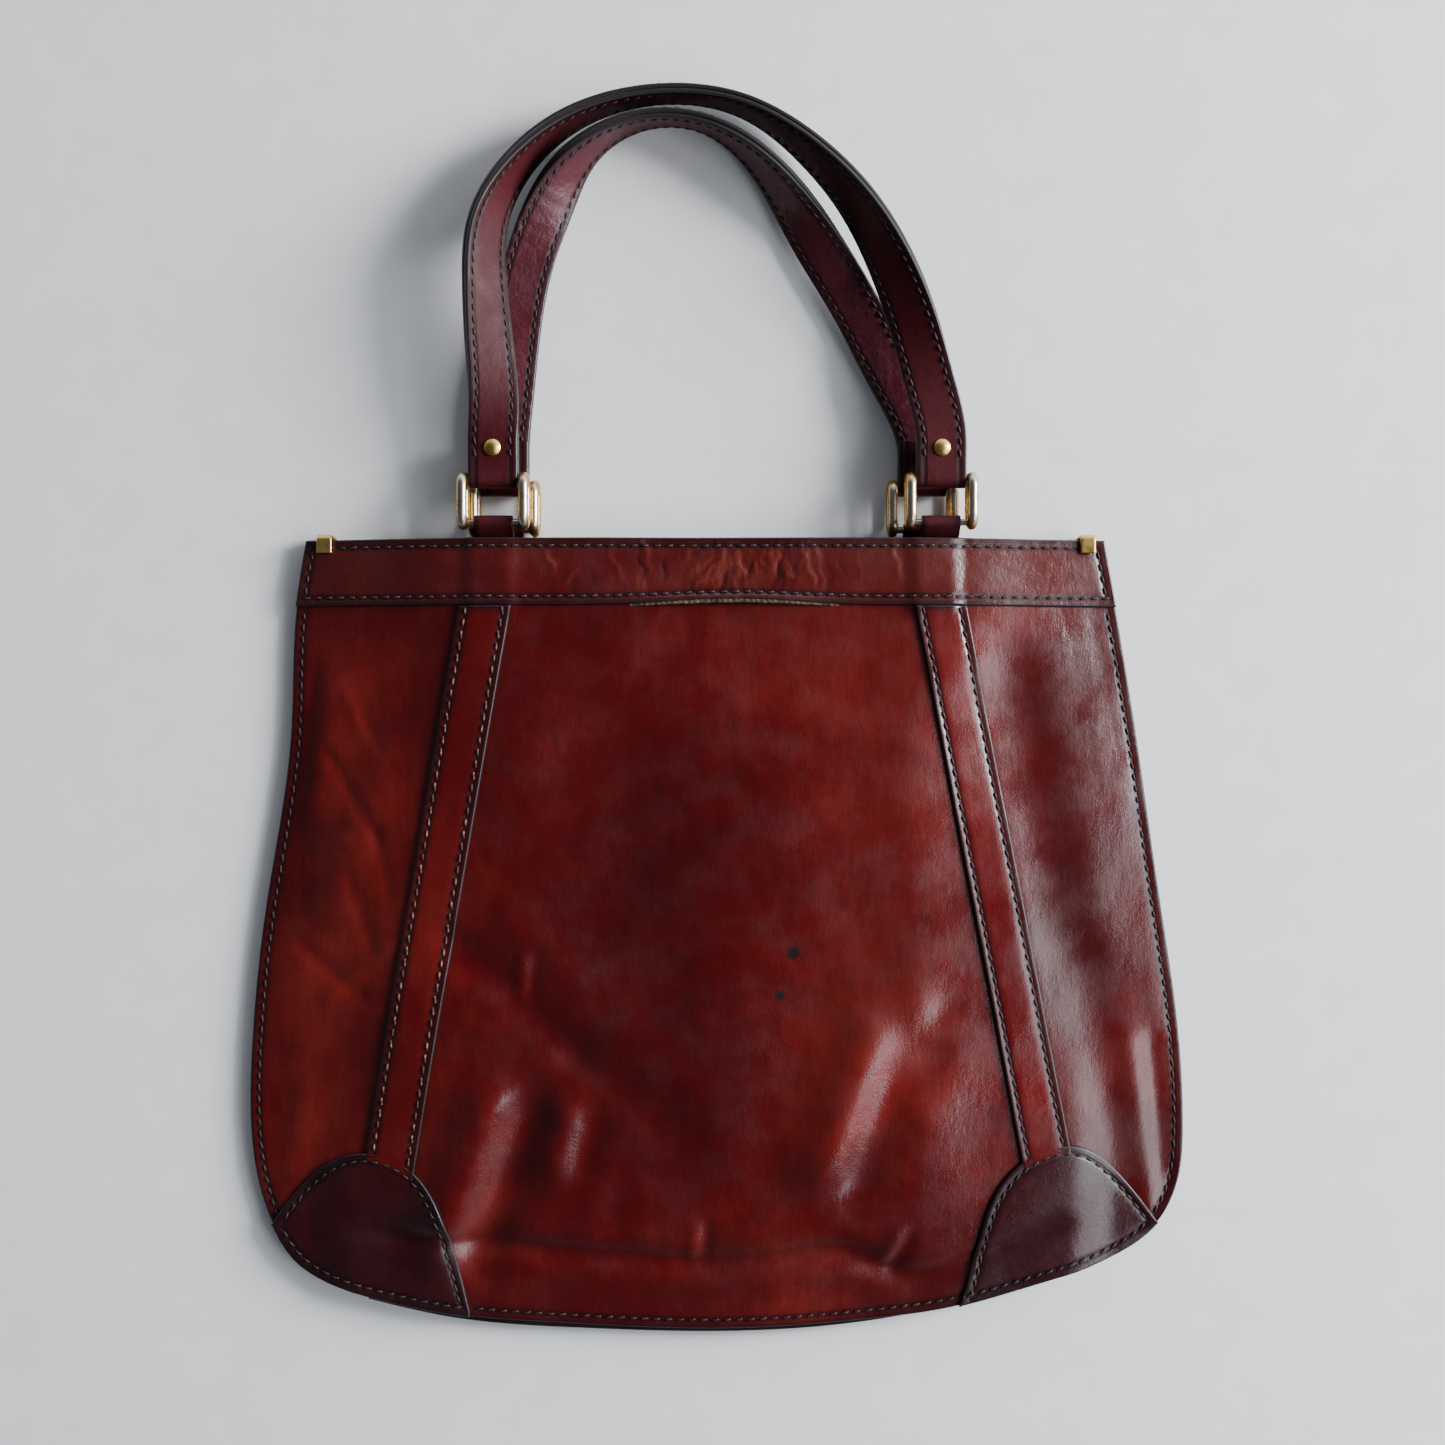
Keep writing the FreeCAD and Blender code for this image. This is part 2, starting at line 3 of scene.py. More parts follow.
import bpy
import numpy as np
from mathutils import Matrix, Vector


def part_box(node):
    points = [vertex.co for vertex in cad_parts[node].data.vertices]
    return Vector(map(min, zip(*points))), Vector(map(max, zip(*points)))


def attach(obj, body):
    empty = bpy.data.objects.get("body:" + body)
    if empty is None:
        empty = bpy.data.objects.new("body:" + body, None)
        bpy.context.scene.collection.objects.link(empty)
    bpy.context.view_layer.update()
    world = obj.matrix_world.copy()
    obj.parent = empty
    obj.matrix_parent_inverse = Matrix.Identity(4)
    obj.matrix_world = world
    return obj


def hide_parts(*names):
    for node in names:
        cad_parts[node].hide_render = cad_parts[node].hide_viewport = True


# A soft oxblood leather handbag lying on its back. The helpers below work in millimetres, measured from the
# middle of the panels: +X to the bag's right, +Y towards the handles, +Z up from the table. The CAD origin is
# REST from there, on the back band, and meshes are stored in metres from the CAD origin.

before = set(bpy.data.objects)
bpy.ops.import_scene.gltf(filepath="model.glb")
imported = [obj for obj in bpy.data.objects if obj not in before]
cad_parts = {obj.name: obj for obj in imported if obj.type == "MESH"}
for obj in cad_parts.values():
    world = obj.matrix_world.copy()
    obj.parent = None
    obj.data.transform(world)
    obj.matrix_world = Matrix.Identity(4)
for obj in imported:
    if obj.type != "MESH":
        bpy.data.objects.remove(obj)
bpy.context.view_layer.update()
MM = 0.001
REST = np.array([0.0, 132.0, 0.0])


def node_box(name):
    """Lowest and highest corner of a CAD node, in millimetres from the middle of the panels."""
    low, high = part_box(name)
    return np.array(low) / MM + REST, np.array(high) / MM + REST


# ------------------------------------------------------------------ sizes of the bag, mm
OVERLAY = 1.5               # bands, strips and patches
PATCH_THICK = 1.55
PANEL = 1.6                 # the two large panels
BACK_INSIDE = OVERLAY + PANEL
LINING = 0.8                # the cotton
LINING_INSET, LINING_HEM = 19.0, 6.0    # from the side seams, and above the CAD lining's lower edge
STITCH_PITCH = 4.3
STITCH_INSET = 3.4          # from a cut edge to its row of stitches
STRIP_INSET, PATCH_INSET = 2.7, 2.9     # the same on the strips and on the patches' inner edges
EDGE_ROUND = 0.55
MOUTH_Y = node_box("front_band")[1][1]
BAND_LOW_Y = node_box("front_band")[0][1]

LEFT_SIDE = [(-150, 144), (-154, 118), (-156, 72), (-165, 10), (-170.5, -45), (-169.5, -85)]
LEFT_CORNER = [(-163.5, -107), (-152, -124), (-134, -132.5)]
BOTTOM = [(-97, -141), (-50, -145), (0, -146.5), (50, -144), (88, -138.8), (125, -128.4)]
RIGHT_CORNER = [(152, -118.4), (166, -107), (172.5, -93)]
RIGHT_SIDE = [(174.5, -72), (172.5, -35), (166, 11), (157.5, 70), (149, 122), (145, 144)]
LEFT_PATCH = [(-163, -109), (-150, -92.5), (-130, -81), (-113, -84.5), (-100, -99.5), (-94, -118),
              (-89, -140)]
RIGHT_PATCH = [(165, -108), (152, -91.5), (133, -78.5), (113.5, -84.3), (102, -99.2), (96.5, -118.5),
               (91, -138)]
STRIPS = {"left": ((-82.3, 121), (-118.5, -90)), "right": ((83.2, 121), (124, -90))}
STRIP_WIDE = 19.0


# ------------------------------------------------------------------ curves
def smooth_curve(knots, count):
    """A natural cubic spline through the knots by chord length, sampled evenly: any number of columns."""
    knots = np.array(knots, float)
    way = np.r_[0, np.cumsum(np.linalg.norm(np.diff(knots[:, :2], axis=0), axis=1))]
    gaps = np.diff(way)
    total = len(knots)
    matrix = np.eye(total)
    right = np.zeros_like(knots)
    inner = np.arange(1, total - 1)
    matrix[inner, inner - 1] = gaps[:-1]
    matrix[inner, inner] = 2 * (gaps[:-1] + gaps[1:])
    matrix[inner, inner + 1] = gaps[1:]
    slopes = np.diff(knots, axis=0) / gaps[:, None]
    right[inner] = 6 * np.diff(slopes, axis=0)
    bends = np.linalg.solve(matrix, right)
    at = np.linspace(0, way[-1], count)
    k = np.clip(np.searchsorted(way, at, side="right") - 1, 0, total - 2)
    t, g = (at - way[k])[:, None], gaps[k][:, None]
    cubic = (bends[k + 1] - bends[k]) / (6 * g)
    linear = slopes[k] - g * (2 * bends[k] + bends[k + 1]) / 6
    return knots[k] + linear * t + bends[k] / 2 * t ** 2 + cubic * t ** 3


def evenly(line, count):
    """The same line with its points moved to even spacing along it."""
    way = np.r_[0, np.cumsum(np.linalg.norm(np.diff(line, axis=0), axis=1))]
    at = np.linspace(0, way[-1], count)
    return np.stack([np.interp(at, way, line[:, axis]) for axis in range(line.shape[1])], 1)


def length_of(line):
    """The length of a line: the sum of its steps."""
    return float(np.linalg.norm(np.diff(line, axis=0), axis=1).sum())


def part_of(line, start, end, count):
    """The stretch of a line between the points nearest to start and end, evenly spaced."""
    first = int(np.argmin(np.linalg.norm(line - np.array(start), axis=1)))
    last = int(np.argmin(np.linalg.norm(line - np.array(end), axis=1)))
    return evenly(line[first:last + 1] if first < last else line[last:first + 1][::-1], count)


def straight(start, end, count):
    """Evenly spaced points from start to end."""
    return np.linspace(start, end, count)


def moved_in(line, inset):
    """A line moved to its left by the inset: inwards for an edge that runs anticlockwise."""
    way = np.gradient(line, axis=0)
    way /= np.linalg.norm(way, axis=1)[:, None]
    return line + np.stack([-way[:, 1], way[:, 0]], 1) * inset


def distance_to(points, line):
    """Distance from every point to the nearest point of a dense line, worked out in blocks."""
    blocks = np.array_split(points, max(1, len(points) * len(line) // 4_000_000 + 1))
    return np.concatenate([np.linalg.norm(b[:, None] - line[None], axis=2).min(1) for b in blocks])


OUTLINE = smooth_curve(LEFT_SIDE + LEFT_CORNER + BOTTOM + RIGHT_CORNER + RIGHT_SIDE, 2400)
LEFT_END, RIGHT_END = OUTLINE[0], OUTLINE[-1]
LEFT_TURN, RIGHT_TURN = (-157, -117), (161, -111.5)     # where the sides become the bottom


# ------------------------------------------------------------------ height of the front
def smooth_step(share):
    """Three squares less two cubes: 0 to 1 with a level start and end."""
    share = np.clip(share, 0, 1)
    return share * share * (3 - 2 * share)


def sides_at(y):
    """The x of the left and the right side seam at a height y, straight between the outline's knots."""
    left_x, left_y = np.array(LEFT_SIDE[::-1]).T
    right_x, right_y = np.array(RIGHT_SIDE).T
    return np.interp(y, left_y, left_x), np.interp(y, right_y, right_x)


SWELL = 13.0                    # how far the lying bag's front stands off its back, and the gusset's own part
GUSSET_SWELL = 2.7


def swell(x, y):
    """How far the front stands above the back: a sine rise from each side seam, times a sine rise from the
    bottom seam, times a slight fall towards the mouth, plus the folded gusset. The right side rises more
    slowly."""
    left, right = sides_at(y)
    bottom_knots = np.array(LEFT_CORNER + BOTTOM + RIGHT_CORNER)
    middle, half = (left + right) / 2, (right - left) / 2
    band_share = smooth_step((y - 80) / 30)
    flatter = smooth_step((x - 60 - 32 * band_share) / 45) * (0.25 - 0.15 * band_share)
    side = np.sin(math.pi / 2 * np.clip((1 - np.abs(x - middle) / half) / (0.55 + flatter), 0, 1)) ** 1.2
    above = np.maximum(0, y - np.interp(x, bottom_knots[:, 0], bottom_knots[:, 1]))
    rise = np.sin(math.pi / 2 * np.minimum(1, above / 110))
    mouth = 1 - 0.15 * smooth_step((y - 40) / 100)
    lift = GUSSET_SWELL * smooth_step((150 - np.abs(x)) / 20) * smooth_step(1.6 - above / 60)
    return lift + (SWELL - lift) * side * rise * mouth


# Soft folds of the front: start, end, half width and height, mm. A valley has a negative height.
FOLDS = [
    ((-95, -2), (-50, -44), 7.0, -1.5), ((-50, -44), (-22, -66), 8.0, -1.0),
    ((-70, 4), (-28, -40), 9.0, 0.9), ((-20, 60), (-36, -10), 14.0, -0.7),
    ((20, 70), (8, -30), 16.0, 0.7), ((45, 60), (52, 0), 14.0, -0.6),
    ((-60, 90), (-66, 30), 14.0, 0.6), ((-33, -84), (-35, -108), 6.0, -0.6),
    ((30, -48), (20, -92), 10.0, -0.8), ((-139, 88), (-146, 48), 8.0, 1.4),
    ((-148, 96), (-153, 56), 4.0, -1.0), ((-121, 60), (-139, 8), 8.0, 1.0),
    ((-142, 66), (-123, 36), 2.6, -0.7), ((-123, 36), (-118, 14), 2.4, -0.6),
    ((-141, -24), (-119, -6), 3.0, 0.8), ((-151, -6), (-128, -24), 3.0, -0.6),
    ((-133, 20), (-124, -6), 3.2, -0.7), ((-150, -60), (-158, -100), 6.0, 0.9),
    ((-134, 86), (-128, 72), 2.2, 0.5), ((-128, 78), (-121, 66), 2.0, -0.4),
    ((-146, 30), (-134, 34), 2.0, 0.5),
    ((137, -8), (144, -60), 9.0, -1.0), ((106, 40), (116, -30), 8.0, 0.5),
]
# Steeper flanks that face +X and catch the light: a ridge on the left of each line and a valley on its right.
# A negative height turns the flank the other way.
FLANKS = [
    ((-74, -66), (-92, -114), 12.0, 3.4), ((-49, -70), (-52, -82), 9.0, 1.9),
    ((-4, -108), (-5, -118), 3.2, 0.6), ((-66, -9), (-67, -21), 3.0, 0.6),
    ((64, -40), (48, -86), 12.0, 2.3), ((79, -28), (75, -44), 9.0, 0.8),
    ((70, -112), (65, -121), 3.4, 0.8), ((140, 113), (147, 62), 5.5, 0.15),
    ((159, -44), (166, -96), 7.0, 1.0), ((116, 100), (136, -4), 14.0, -0.95),
]
STEEPEST = 2.33                 # makes the slope of a bell as high as its flank's height
# Where the front creases over the edge of the folded gusset.
GUSSET_CREASE = [(-141, -109), (-93, -113.5), (-34, -119.5), (20, -120), (51, -118), (74, -127), (92, -122),
                 (140, -104)]
CREASE_DEEP, CREASE_WIDE = 2.5, 4.6
TAB_BUMPS = (-80.6, 81.0)       # middles of the tabs where they lie under the bands
SLOW_WAVES = 0.35
SIDE_FADE = 12.0                # from the side seam to where folds are whole


def bell_along(x, y, start, end, wide):
    """A bell-shaped ridge of height 1 along a line, dying away past its two ends, and how far each point is
    to the left of the line, in half widths."""
    (x0, y0), (x1, y1) = start, end
    long_x, long_y = x1 - x0, y1 - y0
    length = math.hypot(long_x, long_y)
    share = np.clip(((x - x0) * long_x + (y - y0) * long_y) / length ** 2, 0, 1)
    bell = np.exp(-(np.hypot(x - x0 - share * long_x, y - y0 - share * long_y) / wide) ** 2)
    return bell, ((y - y0) * long_x - (x - x0) * long_y) / length / wide


def relief(x, y):
    """The sum of the folds, each a bell-shaped ridge, the flanks, each the slope of such a bell, the crease
    over the gusset, which fades out under the patches, and slow waves."""
    total = np.zeros_like(x)
    for start, end, wide, high in FOLDS:
        total += high * bell_along(x, y, start, end, wide)[0]
    for start, end, wide, high in FLANKS:
        bell, aside = bell_along(x, y, start, end, wide)
        total -= STEEPEST * high * bell * aside
    crease = distance_to(np.stack([x, y], 1), smooth_curve(GUSSET_CREASE, 300))
    total -= CREASE_DEEP * np.exp(-(crease / CREASE_WIDE) ** 2) * smooth_step((138 - np.abs(x)) / 26)
    slow = (np.sin(x / 23 + 1.3) * np.sin(y / 31 + 0.4) + 0.7 * np.sin(x / 13.7 - y / 19) +
            0.5 * np.sin(x / 9.1 + y / 41 + 2))
    return total + SLOW_WAVES * slow


def side_fade(x, y):
    """0 on the side seams and 1 well inside them, so that folds die away at the stitched edge."""
    left, right = sides_at(y)
    return smooth_step(np.minimum(x - left, right - x) / SIDE_FADE)


def tab_bump(x, y):
    """The band and panel lifted 1 mm over the tucked tabs, with soft shoulders."""
    lift = sum(smooth_step((12.2 - np.abs(x - middle)) / 6.8) for middle in TAB_BUMPS)
    return lift * smooth_step((y - (BAND_LOW_Y - 5)) / 5)


def front_top(x, y):
    """Outer face of the front panel: the swell, its folds and the bumps over the tabs."""
    return BACK_INSIDE + PANEL + swell(x, y) + side_fade(x, y) * relief(x, y) + tab_bump(x, y)


BAND_CREASES = 70
BAND_LIFT = 0.9                 # how far the worn lower edge of the front band stands off the panel
WEAR_X, WEAR_HALF = 8.0, 38.0   # middle and half length of the worn edge


def band_crease(x, y):
    """Short wandering creases where the band folds when the bag is carried: each a narrow bell-shaped line at
    its own slant, dying away at both ends, some raised and some sunk."""
    total = np.zeros_like(x)
    draw = np.random.default_rng(11)
    for _ in range(BAND_CREASES):
        middle_x, middle_y = draw.normal(14, 26), draw.uniform(BAND_LOW_Y + 5, MOUTH_Y - 3)
        turn, reach, wide = draw.normal(0, 0.45), draw.uniform(2.5, 8), draw.uniform(0.45, 0.9)
        high = draw.choice([-1, 1], p=[0.35, 0.65]) * draw.uniform(0.07, 0.28)
        along = (x - middle_x) * math.sin(turn) + (y - middle_y) * math.cos(turn)
        off = (x - middle_x) * math.cos(turn) - (y - middle_y) * math.sin(turn) + 0.5 * np.sin(along * 0.8)
        total += high * np.exp(-(off / wide) ** 2 - (along / reach) ** 2)
    return total


def band_bow(x):
    """How far the front band's lower edge has crept up along its worn middle, mm: a bell about 60 mm wide."""
    return 1.7 * np.exp(-((x - WEAR_X) / 34) ** 2)


def front_band_top(x, y):
    """Outer face of the front band, with its creases and the worn edge lifted off the panel."""
    lifted = smooth_step((46 - np.abs(x - WEAR_X)) / 26) * smooth_step((BAND_LOW_Y + band_bow(x) + 5 - y) / 5)
    return front_top(x, y) + OVERLAY + band_crease(x, y) + BAND_LIFT * lifted


def front_over(x, y):
    """Outer face of the strips and patches sewn on the front panel."""
    return front_top(x, y) + OVERLAY


def level(height):
    """A flat surface."""
    return lambda x, y: np.full_like(x, height)


def below(surface, drop):
    """A surface moved straight down."""
    return lambda x, y: surface(x, y) - drop


# ------------------------------------------------------------------ meshes
def grid_faces(rows, cols, first=0):
    """Corner numbers of the square faces of a grid of points."""
    r, c = np.meshgrid(np.arange(rows - 1), np.arange(cols - 1), indexing="ij")
    corner = r * cols + c
    return np.stack([corner, corner + 1, corner + cols + 1, corner + cols], -1).reshape(-1, 4) + first


def make_piece(name, points, faces, materials, face_slots=None, attributes=None):
    """A Blender object from arrays: points in mm, square or three-sided faces, and numbers kept on points."""
    mesh = bpy.data.meshes.new(name)
    mesh.vertices.add(len(points))
    mesh.vertices.foreach_set("co", ((np.asarray(points) - REST) * MM).astype(np.float32).ravel())
    counts = np.concatenate([np.full(len(f), f.shape[1]) for f in faces])
    corners = np.concatenate([f.ravel() for f in faces])
    mesh.loops.add(len(corners))
    mesh.loops.foreach_set("vertex_index", corners.astype(np.int32))
    mesh.polygons.add(len(counts))
    mesh.polygons.foreach_set("loop_start", np.r_[0, np.cumsum(counts)[:-1]].astype(np.int32))
    for material in materials:
        mesh.materials.append(material)
    if face_slots is not None:
        mesh.polygons.foreach_set("material_index", face_slots.astype(np.int32))
    for key, values in (attributes or {}).items():
        mesh.attributes.new(key, "FLOAT", "POINT").data.foreach_set("value", values.astype(np.float32))
    mesh.update(calc_edges=True)
    mesh.validate()
    mesh.polygons.foreach_set("use_smooth", np.ones(len(mesh.polygons), bool))
    piece = bpy.data.objects.new(name, mesh)
    bpy.context.scene.collection.objects.link(piece)
    return piece


def settle(piece, body, slot, *nodes):
    """Puts a piece on its CAD body and lets it stand for its CAD nodes."""
    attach(piece, body)
    if nodes:
        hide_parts(*nodes)
    return piece


def coons(bottom, top, left, right):
    """A grid inside four edges: the two straight blends added, less the blend of the four corners."""
    s = np.linspace(0, 1, len(bottom))[None, :, None]
    t = np.linspace(0, 1, len(left))[:, None, None]
    corners = (1 - t) * ((1 - s) * bottom[0] + s * bottom[-1]) + t * ((1 - s) * top[0] + s * top[-1])
    return (1 - t) * bottom + t * top + (1 - s) * left[:, None] + s * right[:, None] - corners


def rim_profile(layers):
    """How a cut edge is rounded, as pairs of share outwards and height from -1 to 1: half a circle a layer."""
    angle = np.radians(np.linspace(90, -90, 6))
    out, high = np.cos(angle), np.sin(angle)
    centres = np.linspace(1, -1, 2 * layers + 1)[1::2]
    return np.concatenate([np.stack([out, c + high / layers], 1) for c in centres])[1:-1]


# Areas of the front made lighter or darker and browner: x, y, reach along X and Y, light and brown. They are
# partly the dye's own uneven tone and partly painted light: the lighter areas down the left side are painted
# fill light from the left, the lighter brownish area right of the middle is partly painted sheen, and the
# darker, browner areas down the right side and in the lower right corner are partly painted shade and
# reflection.
DYE_AND_PAINTED_LIGHT = [
    (-4, 8, 34, 70, -0.9, -0.7), (-40, 20, 30, 60, -0.2, -0.6), (-10, -75, 30, 40, -0.7, -0.4),
    (60, 10, 24, 60, 0.6, 0.5), (52, -50, 26, 34, 0.9, 0.4), (45, 90, 50, 30, 0.2, 0.1),
    (84, -60, 14, 40, -0.4, -0.2), (-60, -60, 24, 26, 0.35, 0.5), (-72, -104, 16, 12, 0.3, 0.0),
    (128, 80, 26, 40, -0.6, 0.9), (135, 0, 22, 50, -1.2, 0.6), (152, -10, 8, 50, 0.3, 0.1),
    (142, -76, 20, 16, -0.8, 1.2), (160, -70, 10, 24, -0.4, 0.6), (-128, 30, 18, 60, 1.2, 0.1),
    (-143, -70, 14, 22, 1.2, -0.5), (-150, 40, 6, 60, -0.6, 0.2), (-115, 100, 30, 18, 0.5, -0.3),
    (-145, -20, 16, 30, 1.8, -0.1), (-104, 0, 14, 100, 0.7, -0.5), (0, 131, 60, 12, 0.5, 0.4),
    (110, 131, 30, 12, 0.2, 0.8),
    (-120, 131, 26, 12, -0.2, 0.6), (0, -131, 130, 9, -0.2, 0.5), (-100, 40, 12, 60, -0.1, -0.6),
    (118, -70, 10, 10, 0.6, -0.3), (20, 40, 12, 60, -0.4, -0.3), (-62, 100, 40, 18, -0.1, 0.1),
]
INK_SPOTS = [(29.6, -6.7, 3.0), (24.8, -22.2, 2.3)]     # x, y and radius
FAR = 50.0                      # a distance to stitches that leaves no groove
NO_INK = -2.0
CRACK_LIGHT = 9.0               # how much lighter the dye is for each mm that a crease is raised


def dye(points):
    """Two numbers for each point, light and brown, summed from the bell-shaped areas of dye tone and painted
    light, and the ink spots' depth: above 0 inside a spot."""
    x, y = points[:, 0], points[:, 1]
    light, brown = np.zeros(len(points)), np.zeros(len(points))
    for cx, cy, wide, tall, more_light, more_brown in DYE_AND_PAINTED_LIGHT:
        bell = np.exp(-((x - cx) / wide) ** 2 - ((y - cy) / tall) ** 2)
        light += more_light * bell
        brown += more_brown * bell
    ink = np.max([1 - np.hypot(x - cx, y - cy) / reach for cx, cy, reach in INK_SPOTS], axis=0)
    return light, brown, np.maximum(ink, NO_INK)


def sheet_piece(name, plan, top, under, materials, seams=(), layers=1, pucker=0.3, marks=True, cracked=None):
    """A closed sheet of leather over a plan grid, with rounded cut edges. Each point keeps its distance in mm
    from the cut edge and from the nearest row of stitches, and the leather dips along the stitches by a
    bell-shaped groove. cracked gives the height of creases whose dye has cracked off."""
    rows, cols = plan.shape[:2]
    flat = plan.reshape(-1, 2).copy()
    index = np.arange(rows * cols).reshape(rows, cols)
    ring = np.r_[index[0, :-1], index[:-1, -1], index[-1, :0:-1], index[:0:-1, 0]]
    edge = flat[ring]
    way = np.roll(edge, -1, 0) - np.roll(edge, 1, 0)
    outward = np.stack([way[:, 1], -way[:, 0]], 1) / np.maximum(np.linalg.norm(way, axis=1), 1e-9)[:, None]
    rim = distance_to(flat, evenly(np.r_[edge, edge[:1]], 900))
    flat[ring] -= outward * EDGE_ROUND
    seam = np.full(rows * cols, FAR)
    if len(seams):
        seam = np.minimum(distance_to(flat, np.concatenate(seams)), FAR)
    dip = pucker * np.exp(-(seam / 1.5) ** 2)
    x, y = flat[:, 0], flat[:, 1]
    high, low = top(x, y) - dip, under(x, y)
    profile = rim_profile(layers)
    middle, half = ((high + low) / 2)[ring], ((high - low) / 2)[ring]
    loops = [np.c_[edge - outward * EDGE_ROUND * (1 - out), middle + half * lift] for out, lift in profile]
    points = np.concatenate([np.c_[flat, high], np.c_[flat, low], *loops])
    total, around = rows * cols, len(ring)
    chain = [ring] + [2 * total + k * around + np.arange(around) for k in range(len(loops))] + [ring + total]
    upper, lower = grid_faces(rows, cols), grid_faces(rows, cols, total)[:, ::-1]
    rims = [np.stack([a, b, np.roll(b, -1), np.roll(a, -1)], 1) for a, b in zip(chain, chain[1:])]
    slots = np.r_[np.zeros(len(upper)), np.full(len(lower), 2), np.ones(sum(map(len, rims)))]
    spread = np.r_[rim, rim, np.zeros(around * len(loops))]
    seam_all = np.r_[seam, np.full(total + around * len(loops), FAR)]
    light = brown = np.zeros(len(points))
    ink = light + NO_INK
    if marks:
        light, brown, ink = dye(points)
    if cracked is not None:
        light = light + CRACK_LIGHT * cracked(points[:, 0], points[:, 1])
    return make_piece(name, points, [upper, lower, *rims], materials, slots,
                      {"rim": spread, "seam": seam_all, "light": light, "brown": brown, "ink": ink})


def rounded_box(half_wide, low, high, radius, flat_count):
    """A rectangle with rounded corners, anticlockwise, as points (across, up) and which side each is on:
    0 the upper face, 1 an edge, 2 the lower face."""
    radius = min(radius, (high - low) / 2 - 0.01, half_wide - 0.01)
    turns = [np.radians(np.linspace(a, a + 90, 5)) for a in (-90, 0, 90, 180)]
    centres = [(half_wide - radius, low + radius), (half_wide - radius, high - radius),
               (radius - half_wide, high - radius), (radius - half_wide, low + radius)]
    corners = [np.stack([cx + radius * np.cos(t), cy + radius * np.sin(t)], 1)
               for (cx, cy), t in zip(centres, turns)]
    upper = np.linspace(corners[1][-1], corners[2][0], flat_count + 2)[1:-1]
    lower = np.linspace(corners[3][-1], corners[0][0], flat_count + 2)[1:-1]
    points = np.concatenate([corners[0], corners[1], upper, corners[2], corners[3], lower])
    sides = np.r_[np.ones(9), np.zeros(flat_count + 2), np.ones(9), np.full(flat_count, 2)]
    return points, sides


def ribbon_piece(name, path, across, half_wide, low, high, materials, radius=0.6, flat_count=15,
                 stitch_inset=-FAR, shape=None):
    """A strap: a rounded rectangle carried along a path. across is the strap's width direction at each point
    and its upward direction is the path's direction crossed with it. shape adds height to the upper face."""
    way = np.gradient(path, axis=0)
    way /= np.linalg.norm(way, axis=1)[:, None]
    facing = np.cross(way, across)
    facing /= np.linalg.norm(facing, axis=1)[:, None]
    profile, sides = rounded_box(half_wide, low, high, radius, flat_count)
    stations, around = len(path), len(profile)
    a = np.broadcast_to(profile[:, 0], (stations, around))
    b = np.broadcast_to(profile[:, 1], (stations, around)).copy()
    run = np.r_[0, np.cumsum(np.linalg.norm(np.diff(path, axis=0), axis=1))]
    if shape is not None:
        b += shape(np.broadcast_to(run[:, None], a.shape), a) * np.where(sides == 0, 1.0, 0.0)
    rings = path[:, None] + across[:, None] * a[..., None] + facing[:, None] * b[..., None]
    points = np.concatenate([rings.reshape(-1, 3), path[:1], path[-1:]])
    points[-2] += facing[0] * (low + high) / 2
    points[-1] += facing[-1] * (low + high) / 2
    s, j = np.meshgrid(np.arange(stations - 1), np.arange(around), indexing="ij")
    after = (j + 1) % around
    body = np.stack([s * around + j, s * around + after, (s + 1) * around + after, (s + 1) * around + j], -1)
    j = np.arange(around)
    first_cap = np.stack([(j + 1) % around, j, np.full(around, stations * around)], 1)
    start = (stations - 1) * around
    last_cap = np.stack([start + j, start + (j + 1) % around, np.full(around, stations * around + 1)], 1)
    following = np.roll(sides, -1)
    side_of_face = np.where((sides == 2) | (following == 2), 2, np.minimum(sides, following))
    slots = np.r_[np.tile(side_of_face, stations - 1), np.ones(2 * around)]
    rim = np.r_[(half_wide - np.abs(a)).ravel(), 0, 0]
    seam = np.r_[np.abs(half_wide - stitch_inset - np.abs(a)).ravel(), FAR, FAR]
    zero = np.zeros(len(points))
    return make_piece(name, points, [body.reshape(-1, 4), first_cap, last_cap], materials, slots,
                      {"rim": rim, "seam": seam, "light": zero, "brown": zero + 0.3, "ink": zero + NO_INK})


# ------------------------------------------------------------------ thread
def stitch_points(line, pitch=STITCH_PITCH):
    """Middles and directions of the stitches along a line of any number of columns."""
    count = max(2, int(round(length_of(line) / pitch)))
    even = evenly(line, 2 * count + 1)
    return even[1::2], even[2::2] - even[:-2:2]


